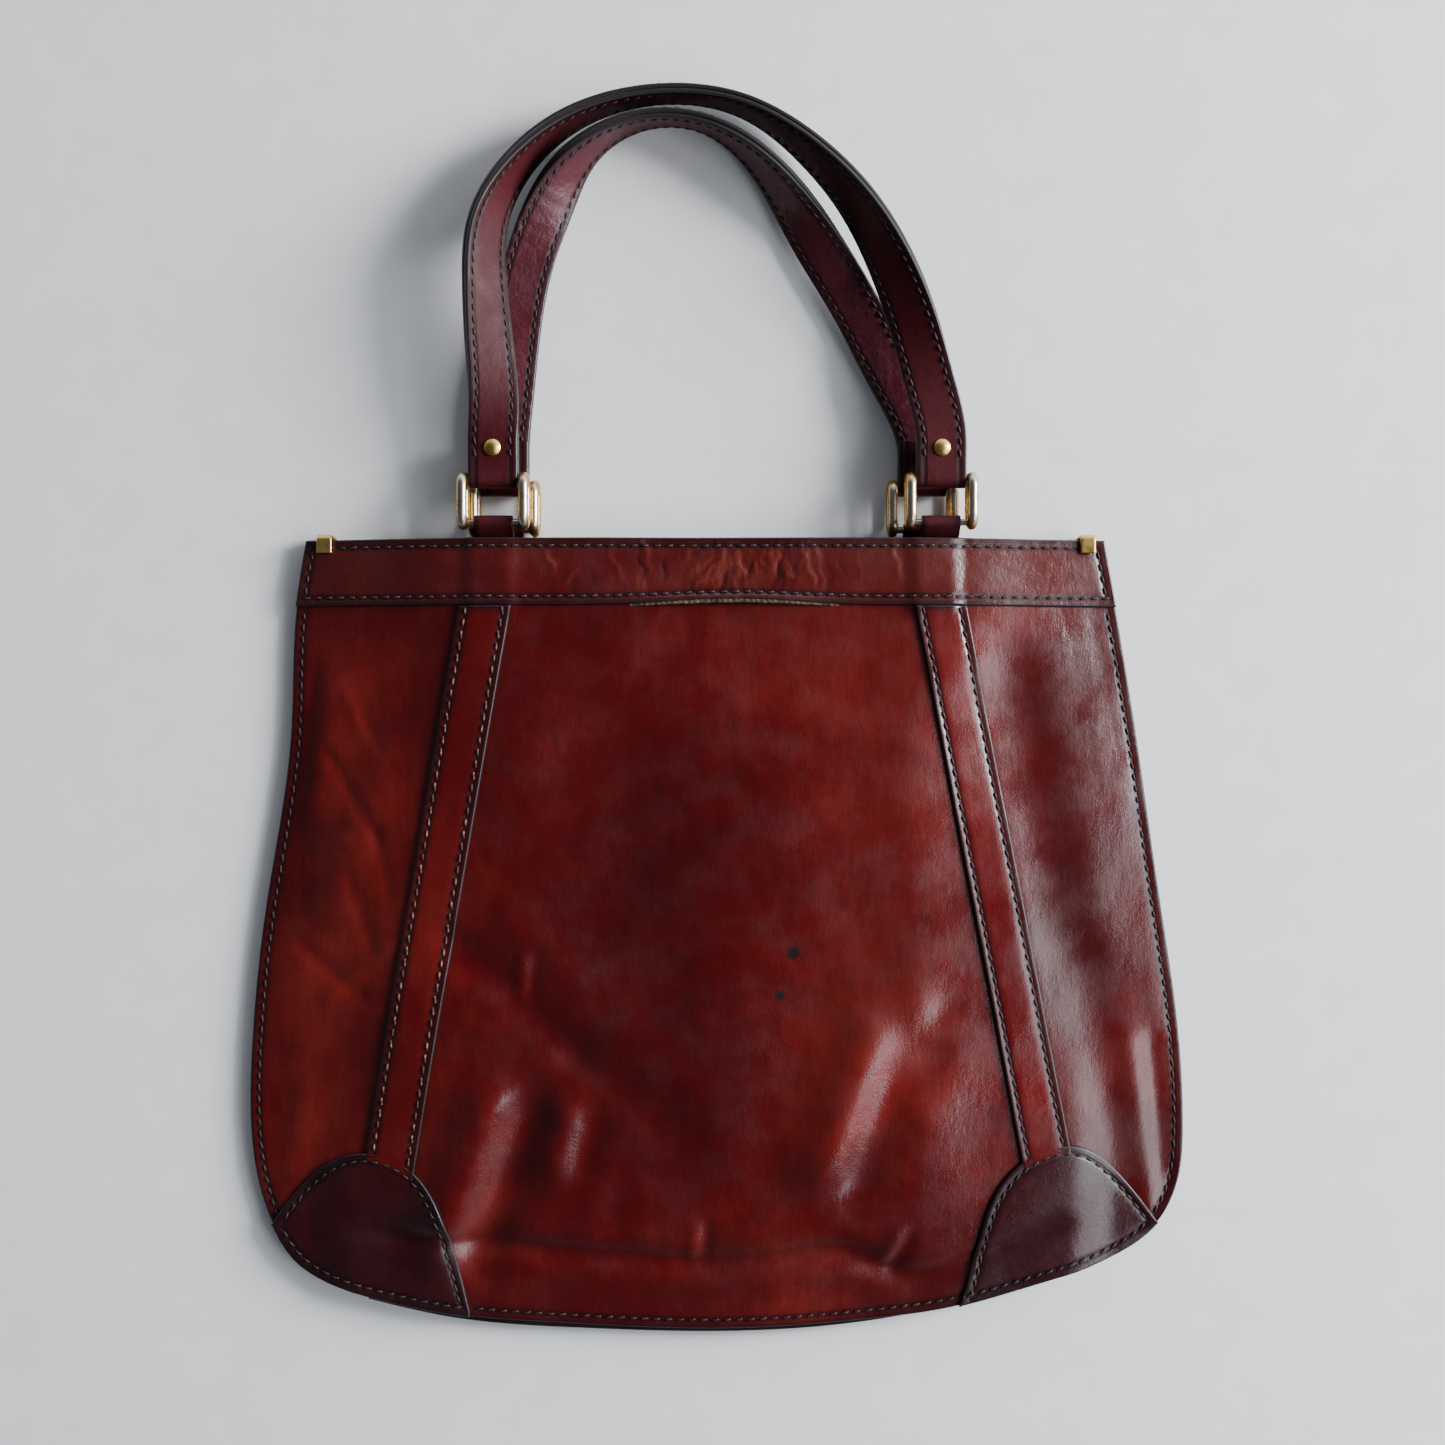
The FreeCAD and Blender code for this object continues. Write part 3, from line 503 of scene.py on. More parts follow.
def thread_piece(name, centres, ways, ups, material, long=3.3, thick=0.42, slant=9.0, seed=3):
    """Lock stitches: each a short bent rod whose ends dive into the leather, turned a little out of line as
    the needle leaves them. All are copies of one small grid placed by array sums."""
    draw = np.random.default_rng(seed)
    count = len(centres)
    along = ways / np.linalg.norm(ways, axis=1)[:, None]
    up = ups / np.linalg.norm(ups, axis=1)[:, None]
    side = np.cross(up, along)
    turn = np.radians(slant + draw.normal(0, 2.5, count))[:, None]
    along, side = along * np.cos(turn) + side * np.sin(turn), side * np.cos(turn) - along * np.sin(turn)
    rings, sides = 6, 6
    at = np.linspace(-1, 1, rings)
    round_angle = np.arange(sides) / sides * 2 * math.pi
    radius = thick * (1 - 0.55 * at ** 6)                   # thinner at the holes
    lift = thick * (0.55 - 1.5 * at ** 4)                   # proud in the middle, sunk at the ends
    a = np.broadcast_to(at[:, None] * long / 2, (rings, sides))
    b = radius[:, None] * np.cos(round_angle)
    c = radius[:, None] * np.sin(round_angle) + lift[:, None]
    size = draw.normal(1, 0.05, count)[:, None, None, None]
    points = (centres[:, None, None] + size * (along[:, None, None] * a[..., None] +
              side[:, None, None] * b[..., None]) + up[:, None, None] * c[..., None])
    r, s = np.meshgrid(np.arange(rings - 1), np.arange(sides), indexing="ij")
    nxt = (s + 1) % sides
    quads = np.stack([r * sides + s, r * sides + nxt, (r + 1) * sides + nxt, (r + 1) * sides + s], -1)
    last = (rings - 1) * sides
    caps = np.array([[3, 2, 1, 0], [5, 4, 3, 0], [last, last + 1, last + 2, last + 3],
                     [last, last + 3, last + 4, last + 5]])
    one = np.r_[quads.reshape(-1, 4), caps]
    faces = (one[None] + (np.arange(count) * rings * sides)[:, None, None]).reshape(-1, 4)
    shade = np.repeat(draw.uniform(0, 1, count), rings * sides)
    return make_piece(name, points.reshape(-1, 3), [faces], [material], None, {"shade": shade})


def on_surface(line, surface, outward=1):
    """Stitch middles, ways and outward directions for a plan line on a height surface."""
    flat, flat_way = stitch_points(line)
    x, y = flat[:, 0], flat[:, 1]
    step = 0.5
    slope_x = (surface(x + step, y) - surface(x - step, y)) / (2 * step)
    slope_y = (surface(x, y + step) - surface(x, y - step)) / (2 * step)
    ups = np.stack([-slope_x, -slope_y, np.ones_like(x)], 1) * outward
    rise = slope_x * flat_way[:, 0] + slope_y * flat_way[:, 1]
    return np.c_[flat, surface(x, y) - outward * 0.25], np.c_[flat_way, rise], ups


# ------------------------------------------------------------------ materials
def linear(code):
    """An sRGB hex colour as linear red, green, blue and alpha 1."""
    parts = np.array([int(code[i:i + 2], 16) for i in (1, 3, 5)]) / 255
    return (*np.where(parts <= 0.04045, parts / 12.92, ((parts + 0.055) / 1.055) ** 2.4), 1.0)


def add(tree, kind, links=(), **settings):
    """Adds a node. Links are pairs of an input's name or number and a value or another node's output."""
    made = tree.nodes.new(kind)
    for key, value in settings.items():
        setattr(made, key, value)
    for key, value in links:
        if isinstance(value, bpy.types.NodeSocket):
            tree.links.new(value, made.inputs[key])
        else:
            made.inputs[key].default_value = value
    return made


def new_material(name):
    """An empty material, its node tree and its shader."""
    material = bpy.data.materials.new(name)
    material.use_nodes = True
    tree = material.node_tree
    return material, tree, tree.nodes["Principled BSDF"]


def ramp(tree, source, stops):
    """A colour ramp from pairs of place and colour code."""
    made = add(tree, "ShaderNodeValToRGB", [("Fac", source)])
    band = made.color_ramp
    while len(band.elements) < len(stops):
        band.elements.new(1.0)
    for element, (place, code) in zip(band.elements, stops):
        element.position = place
        element.color = linear(code)
    return made.outputs["Color"]


def calf(name, dark, middle, light, brown, gloss=0.28, coat=0.2, wrinkle=1.0, streak=(1, 1, 1), shine=0.5):
    """Vegetable-tanned calf, dyed oxblood, burnished and waxed: the dye is uneven, with painted light in its
    tone in places, darker at the burnished edges, with painted shade along the stitch grooves; the pores are a
    fine pebble, and the wax gives a soft gloss that is dull where scuffed."""
    material, tree, shader = new_material(name)
    place = add(tree, "ShaderNodeTexCoord").outputs["Object"]
    read = {key: add(tree, "ShaderNodeAttribute", attribute_name=key).outputs["Fac"]
            for key in ("rim", "seam", "light", "brown", "ink")}

    def noise(scale, detail, rough=0.55, vector=place):
        return add(tree, "ShaderNodeTexNoise", [("Vector", vector), ("Scale", scale), ("Detail", detail),
                                                ("Roughness", rough)]).outputs["Fac"]

    def maths(operation, *values, clamp=False):
        return add(tree, "ShaderNodeMath", list(enumerate(values)), operation=operation,
                   use_clamp=clamp).outputs["Value"]

    def spread(value, low, high, to_low=0.0, to_high=1.0):
        return add(tree, "ShaderNodeMapRange", [("Value", value), ("From Min", low), ("From Max", high),
                                                ("To Min", to_low), ("To Max", to_high)],
                   interpolation_type="SMOOTHSTEP").outputs["Result"]

    def blend(share, first, second):
        mixed = add(tree, "ShaderNodeMix", data_type="RGBA")
        for key, value in ((0, share), (6, first), (7, second)):
            if isinstance(value, bpy.types.NodeSocket):
                tree.links.new(value, mixed.inputs[key])
            else:
                mixed.inputs[key].default_value = value
        return mixed.outputs[2]

    clouds = noise(14, 3)                                   # dye clouds about 70 mm across
    mottle = noise(90, 4)                                   # smaller mottling about 10 mm across
    stretched = add(tree, "ShaderNodeMapping", [("Vector", place), ("Scale", streak)]).outputs["Vector"]
    brushed = noise(260, 5, 0.6, stretched)                 # brushed-on dye and fine drawn grain, 4 mm
    # The light and brown attributes carry the dye's uneven tone and, in places, painted fill light, sheen, shade
    # and reflection.
    tone = maths("MULTIPLY_ADD", read["light"], 0.15, maths("MULTIPLY_ADD", clouds, 0.6, 0.2))
    tone = maths("ADD", tone, maths("MULTIPLY", maths("SUBTRACT", mottle, 0.5), 0.18))
    tone = maths("ADD", tone, maths("MULTIPLY", maths("SUBTRACT", brushed, 0.5), 0.18))
    colour = ramp(tree, tone, [(0.22, dark), (0.5, middle), (0.78, light)])
    brownness = maths("ADD", maths("MULTIPLY", read["brown"], 0.5),
                      spread(noise(18, 2), 0.4, 0.7, -0.1, 0.15), clamp=True)
    colour = blend(maths("MULTIPLY", brownness, 0.62), colour, linear(brown))
    edge = spread(read["rim"], 0.2, 3.2, 0.78, 0.0)         # burnished edge, about 3 mm wide
    groove = spread(read["seam"], 0.35, 2.2, 0.70, 0.0)     # painted shade along the stitch grooves
    colour = blend(maths("MAXIMUM", edge, groove), colour, linear("#16060a"))
    ink = spread(maths("ADD", read["ink"], maths("MULTIPLY", maths("SUBTRACT", noise(900, 3), 0.5), 0.5)),
                 -0.05, 0.4, 0.0, 0.86)
    colour = blend(ink, colour, linear("#0d0a0b"))
    pores = add(tree, "ShaderNodeTexVoronoi", [("Vector", place), ("Scale", 1500.0)], feature="F1")   # 0.7 mm
    scuff = spread(noise(330, 6, 0.72), 0.66, 0.80, 0.0, 0.35)
    colour = blend(scuff, colour, linear("#6b3a28"))
    tree.links.new(colour, shader.inputs["Base Color"])
    rough = maths("ADD", spread(noise(60, 4), 0.3, 0.7, gloss - 0.07, gloss + 0.10),
                  maths("MULTIPLY", scuff, 0.4))
    tree.links.new(rough, shader.inputs["Roughness"])
    shader.inputs["IOR"].default_value = 1.5
    shader.inputs["Specular IOR Level"].default_value = shine
    shader.inputs["Coat Weight"].default_value = coat
    shader.inputs["Coat Roughness"].default_value = 0.18
    creases = noise(420, 6, 0.65, stretched)                # drawn grain, about 2.4 mm
    soft = noise(55, 4)                                     # gentle unevenness, about 18 mm
    height = maths("ADD", maths("MULTIPLY", creases, 0.35 * wrinkle),
                   maths("MULTIPLY", pores.outputs["Distance"], 0.10))
    height = maths("ADD", height, maths("MULTIPLY", soft, 1.6 * wrinkle))
    height = maths("SUBTRACT", height, spread(read["seam"], 0.0, 1.4, 0.6, 0.0))
    bump = add(tree, "ShaderNodeBump", [("Height", height), ("Distance", 0.0004), ("Strength", 0.75)])
    tree.links.new(bump.outputs["Normal"], shader.inputs["Normal"])
    return material


def plain(name, code, rough, grain_scale, grain_depth, second=None, metallic=0.0, coat=0.0):
    """A simple finish: one colour mottled with a second, and a fine bump of a given scale per metre."""
    material, tree, shader = new_material(name)
    place = add(tree, "ShaderNodeTexCoord").outputs["Object"]
    noise = add(tree, "ShaderNodeTexNoise", [("Vector", place), ("Scale", grain_scale), ("Detail", 5.0)])
    colour = ramp(tree, noise.outputs["Fac"], [(0.35, code), (0.7, second or code)])
    tree.links.new(colour, shader.inputs["Base Color"])
    shader.inputs["Roughness"].default_value = rough
    shader.inputs["Metallic"].default_value = metallic
    shader.inputs["Coat Weight"].default_value = coat
    bump = add(tree, "ShaderNodeBump", [("Height", noise.outputs["Fac"]), ("Distance", grain_depth)])
    tree.links.new(bump.outputs["Normal"], shader.inputs["Normal"])
    return material


def wave_scale(spacing):
    """The wave texture's scale for bands a spacing apart in metres: a full wave takes a tenth of pi units."""
    return math.pi / 10 / spacing


def cotton(name, warp, weft):
    """Plain-woven cotton lining, dull and slightly fuzzy: warp and weft threads cross every 0.8 mm, drawn as
    two crossed waves."""
    material, tree, shader = new_material(name)
    place = add(tree, "ShaderNodeTexCoord").outputs["Object"]
    scale = wave_scale(0.0008)
    waves = [add(tree, "ShaderNodeTexWave", [("Vector", place), ("Scale", scale), ("Distortion", 0.4)],
                 bands_direction=way).outputs["Fac"] for way in ("X", "Y")]
    weave = add(tree, "ShaderNodeMath", [(0, waves[0]), (1, waves[1])], operation="MULTIPLY").outputs["Value"]
    tree.links.new(ramp(tree, weave, [(0.1, warp), (0.7, weft)]), shader.inputs["Base Color"])
    shader.inputs["Roughness"].default_value = 0.9
    shader.inputs["Sheen Weight"].default_value = 0.2
    bump = add(tree, "ShaderNodeBump", [("Height", weave), ("Distance", 0.0002)])
    tree.links.new(bump.outputs["Normal"], shader.inputs["Normal"])
    return material


def thread(name, valley, crown):
    """Waxed twisted polyester thread: the ply shows as slanted ridges, with a painted highlight on their crowns
    and painted shade in their valleys, brighter on some stitches than others at random. The real ridges are 0.35
    mm apart, and these are 2.2 mm apart, so that they show."""
    material, tree, shader = new_material(name)
    place = add(tree, "ShaderNodeTexCoord").outputs["Object"]
    shade = add(tree, "ShaderNodeAttribute", attribute_name="shade").outputs["Fac"]
    turned = add(tree, "ShaderNodeMapping", [("Vector", place), ("Rotation", (0.0, 0.0, 0.8))])
    ply = add(tree, "ShaderNodeTexWave", [("Vector", turned.outputs["Vector"]), ("Scale", wave_scale(0.0022)),
                                          ("Distortion", 0.6)])
    # The ply's crowns get a painted highlight and its valleys painted shade, scaled by a random number for each
    # stitch.
    tone_with_painted_light = add(tree, "ShaderNodeMath", [(0, ply.outputs["Fac"]), (1, shade)], operation="MULTIPLY")
    mixed = tone_with_painted_light.outputs["Value"]
    tree.links.new(ramp(tree, mixed, [(0.05, valley), (0.8, crown)]), shader.inputs["Base Color"])
    shader.inputs["Roughness"].default_value = 0.65
    bump = add(tree, "ShaderNodeBump", [("Height", ply.outputs["Fac"]), ("Distance", 0.00008)])
    tree.links.new(bump.outputs["Normal"], shader.inputs["Normal"])
    return material


def worn_plate_with_painted_light(name, gold, nickel, tarnish, clean, wear_and_highlight_start, smooth, dull):
    """Gold-plated zinc or brass hardware: thin gold over nickel. The colour runs with how far a face looks up,
    plus noise
    patches: faces that look down get the dark tarnish colour, a painted shade underneath, and faces that look up
    get nickel, partly gold worn off the tops and partly a painted highlight. Dark tarnish also gathers in
    specks. clean is the noise value at which the specks start, the next number is how much a face must look up
    before it is nickel, and the roughness runs from smooth to dull."""
    material, tree, shader = new_material(name)
    place = add(tree, "ShaderNodeTexCoord").outputs["Object"]
    normal = add(tree, "ShaderNodeNewGeometry").outputs["Normal"]
    upward = add(tree, "ShaderNodeSeparateXYZ", [("Vector", normal)]).outputs["Z"]
    cloud = add(tree, "ShaderNodeTexNoise", [("Vector", place), ("Scale", 260.0), ("Detail", 5.0)])   # 4 mm
    patches = cloud.outputs["Fac"]
    # Looking down gives the tarnish colour, a painted shade; looking up gives nickel, partly worn gold and
    # partly a painted highlight.
    tone_with_painted_light = add(tree, "ShaderNodeMath", [(0, upward), (1, 0.5), (2, patches)], operation="MULTIPLY_ADD")
    colour = ramp(tree, tone_with_painted_light.outputs["Value"],
                  [(0.10, tarnish), (0.26, gold), (wear_and_highlight_start - 0.2, gold), (wear_and_highlight_start, nickel)])
    specks = add(tree, "ShaderNodeTexNoise", [("Vector", place), ("Scale", 700.0), ("Detail", 6.0)])   # 1.4 mm
    dark = add(tree, "ShaderNodeMapRange", [("Value", specks.outputs["Fac"]), ("From Min", clean),
                                            ("From Max", clean + 0.1)],
               interpolation_type="SMOOTHSTEP").outputs["Result"]
    mixed = add(tree, "ShaderNodeMix", data_type="RGBA")
    for key, value in ((0, dark), (6, colour)):
        tree.links.new(value, mixed.inputs[key])
    mixed.inputs[7].default_value = linear(tarnish)
    tree.links.new(mixed.outputs[2], shader.inputs["Base Color"])
    shader.inputs["Metallic"].default_value = 1.0
    rough = add(tree, "ShaderNodeMapRange", [("Value", patches), ("To Min", smooth), ("To Max", dull)])
    tree.links.new(rough.outputs["Result"], shader.inputs["Roughness"])
    bump = add(tree, "ShaderNodeBump", [("Height", patches), ("Distance", 0.00008)])
    tree.links.new(bump.outputs["Normal"], shader.inputs["Normal"])
    return material


# The grain is drawn along Y, the way the hide was stretched, so its pattern is squeezed along that axis.
PANEL_CALF = calf("oxblood_calf_panel", "#2f0001", "#4a0304", "#701b15", "#441815", streak=(1.0, 0.28, 1.0))
STRIP_CALF = calf("oxblood_calf_strip", "#3a0103", "#540506", "#6c1812", "#4b1917", streak=(1.0, 0.3, 1.0))
BAND_CALF = calf("oxblood_calf_band", "#320405", "#4a0c0b", "#622218", "#44221f", wrinkle=1.2,
                 streak=(1.0, 0.5, 1.0))
PATCH_CALF = calf("plum_calf_patch", "#1f0004", "#2f0308", "#3e0d10", "#2b1214", gloss=0.34)
STRAP_CALF = calf("oxblood_calf_strap", "#280208", "#3e080f", "#50161b", "#3a1a20", gloss=0.52, coat=0.0,
                  wrinkle=1.3, shine=0.2)
LINER_CALF = calf("wrinkled_calf_strap_lining", "#330811", "#4c121d", "#63272d", "#47242c", gloss=0.44,
                  coat=0.0, wrinkle=3.2, shine=0.35)
EDGE_PAINT = plain("black_edge_paint", "#0b0709", 0.5, 900, 0.00008, "#1c1013", coat=0.1)
FLESH = plain("suede_flesh_side", "#6d4a3a", 0.92, 1400, 0.0002, "#835d49")
COTTON = cotton("beige_cotton_lining", "#7c6550", "#a58b6e")
RAW_EDGE = plain("frayed_raw_leather_edge", "#2a1e15", 0.9, 420, 0.0003, "#6b5639")
MAROON_THREAD = thread("waxed_maroon_thread", "#190505", "#3b1416")
TAN_THREAD = thread("waxed_tan_thread", "#2e120e", "#7f5440")
PLATE = worn_plate_with_painted_light("worn_gold_plate_and_painted_light", "#c8963c", "#c4baa6", "#4a3a22", 0.70, 0.88, 0.2, 0.4)
BRASS = worn_plate_with_painted_light("polished_brass", "#d0a24a", "#dcbc70", "#6b5228", 0.76, 1.0, 0.26, 0.42)
LEATHER = {"panel": [PANEL_CALF, EDGE_PAINT, FLESH], "strip": [STRIP_CALF, EDGE_PAINT, FLESH],
           "band": [BAND_CALF, EDGE_PAINT, FLESH], "patch": [PATCH_CALF, EDGE_PAINT, FLESH]}

# ------------------------------------------------------------------ plans of the body's pieces
BOTTOM_LONG, SIDE_LONG, MOUTH_LONG, BAND_TALL = 320, 262, 300, 24.5     # lengths of the pieces' edges


def panel_plan(cell):
    """A panel's grid, inside the bottom, the two sides and the straight mouth."""
    bottom = part_of(OUTLINE, LEFT_TURN, RIGHT_TURN, int(BOTTOM_LONG / cell))
    left = part_of(OUTLINE, LEFT_TURN, LEFT_END, int(SIDE_LONG / cell))
    right = part_of(OUTLINE, RIGHT_TURN, RIGHT_END, int(SIDE_LONG / cell))
    top = straight(LEFT_END, RIGHT_END, len(bottom))
    return coons(bottom, top, left, right)


def side_point(x_sign, y):
    """The point of the bag's left or right side at a height y."""
    side = OUTLINE[OUTLINE[:, 0] * x_sign > 100]
    side = side[side[:, 1] > -60]
    return side[np.argmin(np.abs(side[:, 1] - y))]


def band_plan(cell):
    """A band's grid, whose lower edge bows up in the middle."""
    low_left, low_right = side_point(-1, BAND_LOW_Y), side_point(1, BAND_LOW_Y)
    cols, rows = int(MOUTH_LONG / cell), int(BAND_TALL / cell)
    low_edge = straight(low_left, low_right, cols)
    low_edge[:, 1] += band_bow(low_edge[:, 0])
    return coons(low_edge, straight(LEFT_END, RIGHT_END, cols),
                 part_of(OUTLINE, low_left, LEFT_END, rows), part_of(OUTLINE, low_right, RIGHT_END, rows))


def strip_edges(side):
    """The ends of a strip's two long edges: top left, top right, low left and low right."""
    (x_top, _), (x_low, y_low) = STRIPS[side]
    top, low = np.array([x_top, BAND_LOW_Y - 0.1]), np.array([x_low, y_low])
    half = np.array([STRIP_WIDE / 2, 0])
    return top - half, top + half, low - half, low + half


def patch_inner(side):
    """The patch's inner edge, from the side seam over its crown to the bottom seam, ending on the outline."""
    line = smooth_curve(LEFT_PATCH if side == "left" else RIGHT_PATCH, 200)
    gap = distance_to(line, OUTLINE)
    first = int(np.argmin(gap[:60]))
    last = 140 + int(np.argmin(gap[140:]))
    return line[first:last + 1]


def patch_plan(side, rows=46, cols=74):
    """A lens-shaped grid between the inner edge and the bag's outline. Its ends are a hair open."""
    inner = patch_inner(side)
    outer = part_of(OUTLINE, inner[0], inner[-1], cols)
    inner = evenly(inner, cols)
    share = np.linspace(0, 1, rows)[:, None, None]
    opening = (np.sin(np.linspace(0, math.pi, cols)) ** 0.5 * 0.999 + 0.001)[None, :, None]
    blend = outer + (inner - outer) * share
    middle = (outer + inner) / 2
    blend = middle + (blend - middle) * np.maximum(opening, 0.02)
    blend[0], blend[-1] = outer, inner
    return blend if side == "left" else blend[:, ::-1]


def strip_plan(side, cell=1.0):
    """A strip's grid. Its lower end stops under the patch's edge."""
    top_left, top_right, low_left, low_right = strip_edges(side)
    inner = patch_inner(side)

    def stop(top, low):
        line = straight(top, low, 800)
        return line[int(np.argmin(distance_to(line, inner)))] + (low - top) / np.linalg.norm(low - top) * 3.0

    stop_left, stop_right = stop(top_left, low_left), stop(top_right, low_right)
    rows, cols = int(200 / cell), int(STRIP_WIDE / cell)
    return coons(straight(stop_left, stop_right, cols), straight(top_left, top_right, cols),
                 straight(stop_left, top_left, rows), straight(stop_right, top_right, rows))


# ------------------------------------------------------------------ rows of stitches
def body_seams():
    """Every row of stitches of one face of the bag, as plan lines, by the piece that they sit on."""
    rows = {}
    side_top = BAND_LOW_Y - 1.0
    left_side = part_of(OUTLINE, side_point(-1, side_top), (-163, -108), 300)
    right_side = part_of(OUTLINE, (165.5, -107), side_point(1, side_top), 300)
    bottom = part_of(OUTLINE, (-88, -141.8), (90.5, -138.0), 400)
    rows["panel"] = [moved_in(left_side, STITCH_INSET), moved_in(right_side, STITCH_INSET),
                     moved_in(bottom, STITCH_INSET)]
    inset = STITCH_INSET * 0.9
    left_x, right_x = side_point(-1, BAND_LOW_Y)[0], side_point(1, BAND_LOW_Y)[0]
    low_row = straight((left_x + 2, BAND_LOW_Y + inset), (right_x - 2, BAND_LOW_Y + inset), 400)
    low_row[:, 1] += band_bow(low_row[:, 0])
    mouth_row = straight((LEFT_END[0] + 3, MOUTH_Y - inset), (RIGHT_END[0] - 3, MOUTH_Y - inset), 400)
    left_end = part_of(OUTLINE, LEFT_END - [0, 3], side_point(-1, BAND_LOW_Y + 4), 40)
    right_end = part_of(OUTLINE, side_point(1, BAND_LOW_Y + 4), RIGHT_END - [0, 3], 40)
    rows["band"] = [mouth_row, low_row, moved_in(left_end, STITCH_INSET), moved_in(right_end, STITCH_INSET)]
    for side in ("left", "right"):
        top_left, top_right, low_left, low_right = strip_edges(side)
        inner = patch_inner(side)
        lines = []
        for top, low, into in ((top_left, low_left, STRIP_INSET), (top_right, low_right, -STRIP_INSET)):
            move = np.array([into, 0])
            line = straight(top + move, low + move, 800)
            lines.append(line[:int(np.argmin(distance_to(line, inner)))])
        rows["strip_" + side] = lines
        hand = 1 if side == "left" else -1
        crown = moved_in(inner, -hand * PATCH_INSET)
        outer = part_of(OUTLINE, inner[0], inner[-1], 300)
        hem = moved_in(outer, hand * STITCH_INSET)
        rows["patch_" + side] = [crown[6:-6], hem[12:-10]]
    return rows


SEAMS = body_seams()


def build_face(face, top_panel, top_over, top_band, outward):
    """The panel, band, strips, patches and thread of one face of the bag. The front's outer side is up; the
    back's outer side is down, on the table, and its grids are coarser because it is flat."""
    panel_cell, band_cell, strip_cell = (1.6, 0.75, 1.0) if face == "front" else (2.4, 2.0, 2.0)

    def build(name, plan, surface, thick, kind, seams):
        """One leather piece: its flesh side is away from the face that shows."""
        leather_name = name + "_leather"
        if outward > 0:
            made = sheet_piece(leather_name, plan, surface, below(surface, thick), LEATHER[kind], seams,
                               cracked=band_crease if kind == "band" else None)
        else:
            made = sheet_piece(leather_name, plan, below(surface, -thick), surface, LEATHER[kind][::-1],
                               seams, pucker=0)
        return settle(made, "bag", "trim_leather" if kind == "patch" else "leather", name)

    everything = [line for lines in SEAMS.values() for line in lines]
    build(face + "_panel", panel_plan(panel_cell), top_panel, PANEL, "panel", everything)
    build(face + "_band", band_plan(band_cell), top_band, OVERLAY, "band", SEAMS["band"])
    for side in ("left", "right"):
        build("%s_strip_%s" % (face, side), strip_plan(side, strip_cell), top_over, OVERLAY, "strip",
              SEAMS["strip_" + side])
        build("%s_patch_%s" % (face, side), patch_plan(side), top_over, PATCH_THICK, "patch",
              SEAMS["patch_" + side])
    surfaces = {"panel": top_panel, "band": top_band}
    for material, label, keys in ((TAN_THREAD, "tan", ["strip_left"]),
                                  (MAROON_THREAD, "maroon", [k for k in SEAMS if k != "strip_left"])):
        rows = [on_surface(line, surfaces.get(key, top_over), outward) for key in keys for line in SEAMS[key]]
        centres, ways, ups = (np.concatenate([row[k] for row in rows]) for k in range(3))
        settle(thread_piece("%s_%s_thread" % (face, label), centres, ways, ups, material), "bag", "leather")


build_face("front", front_top, front_over, front_band_top, 1)
build_face("back", level(OVERLAY), level(0.0), level(0.0), -1)



def build_frayed_lip():
    """The worn lower edge of the front band, where the paint is gone and the raw leather shows: a flat rod
    along the bowed edge with two small sine ripples. It sinks by a cubic towards both ends."""
    x = np.linspace(WEAR_X - WEAR_HALF, WEAR_X + WEAR_HALF, 220)
    edge_y = BAND_LOW_Y + band_bow(x)
    y = edge_y - 0.15 + 0.12 * np.sin(x * 1.9) * np.sin(x * 0.7)
    sink = 1.4 * np.abs((x - WEAR_X) / WEAR_HALF) ** 3
    z = front_band_top(x, edge_y + 0.6) - 0.55 - sink + 0.08 * np.sin(x * 3.1)
    path = np.stack([x, y, z], 1)
    lip = ribbon_piece("front_band_frayed_lip", path, np.broadcast_to([0.0, 1.0, 0.0], path.shape), 0.75,
                       -0.5, 0.5, [RAW_EDGE] * 3, radius=0.4, flat_count=3)
    settle(lip, "bag", "leather")


build_frayed_lip()

# ------------------------------------------------------------------ gusset, lining and pocket
GUSSET_EDGE = [(-127, -136.3), (-97, -143), (-50, -147), (0, -148.3), (40, -146.5), (68, -142.8),
               (129, -127.8)]
GUSSET_DEEP = 18.0              # how far the gusset is folded in


def build_gusset():
    """The folded gusset's two leaves, which show as a black layered edge under the bottom seam."""
    low, high = node_box("base_gusset")
    sewn_edge = smooth_curve(GUSSET_EDGE, 180)
    folded_edge = sewn_edge + np.array([0, GUSSET_DEEP])
    plan = coons(sewn_edge, folded_edge, straight(sewn_edge[0], folded_edge[0], 12),
                 straight(sewn_edge[-1], folded_edge[-1], 12))
    leaves = sheet_piece("base_gusset_leaves", plan, level(high[2]), level(low[2]),
                         [PATCH_CALF, EDGE_PAINT, PATCH_CALF], layers=2)
    settle(leaves, "bag", "trim_leather", "base_gusset")


def lining_plan(low, high, cell=3.0):
    """The lining's grid: the bag's sides moved in to the CAD lining's width, above a straight hem."""
    rows, cols = int((high[1] - low[1]) / cell), int((high[0] - low[0]) / cell)
    y = np.linspace(low[1] + LINING_HEM, high[1], rows)
    left_x, right_x = sides_at(y)
    left, right = np.stack([left_x + LINING_INSET, y], 1), np.stack([right_x - LINING_INSET, y], 1)
    return coons(straight(left[0], right[0], cols), straight(left[-1], right[-1], cols), left, right)


def build_cloth(node, plan, top, thick):
    """A flat sheet of lining cloth."""
    cloth = sheet_piece(node + "_cloth", plan, top, below(top, thick), [COTTON] * 3, pucker=0, marks=False)
    settle(cloth, "bag", "lining", node)


build_gusset()
build_cloth("front_lining", lining_plan(*node_box("front_lining")), below(front_top, PANEL + 0.2), LINING)
back_box = node_box("back_lining")
build_cloth("back_lining", lining_plan(*back_box), level(back_box[1][2]), LINING)

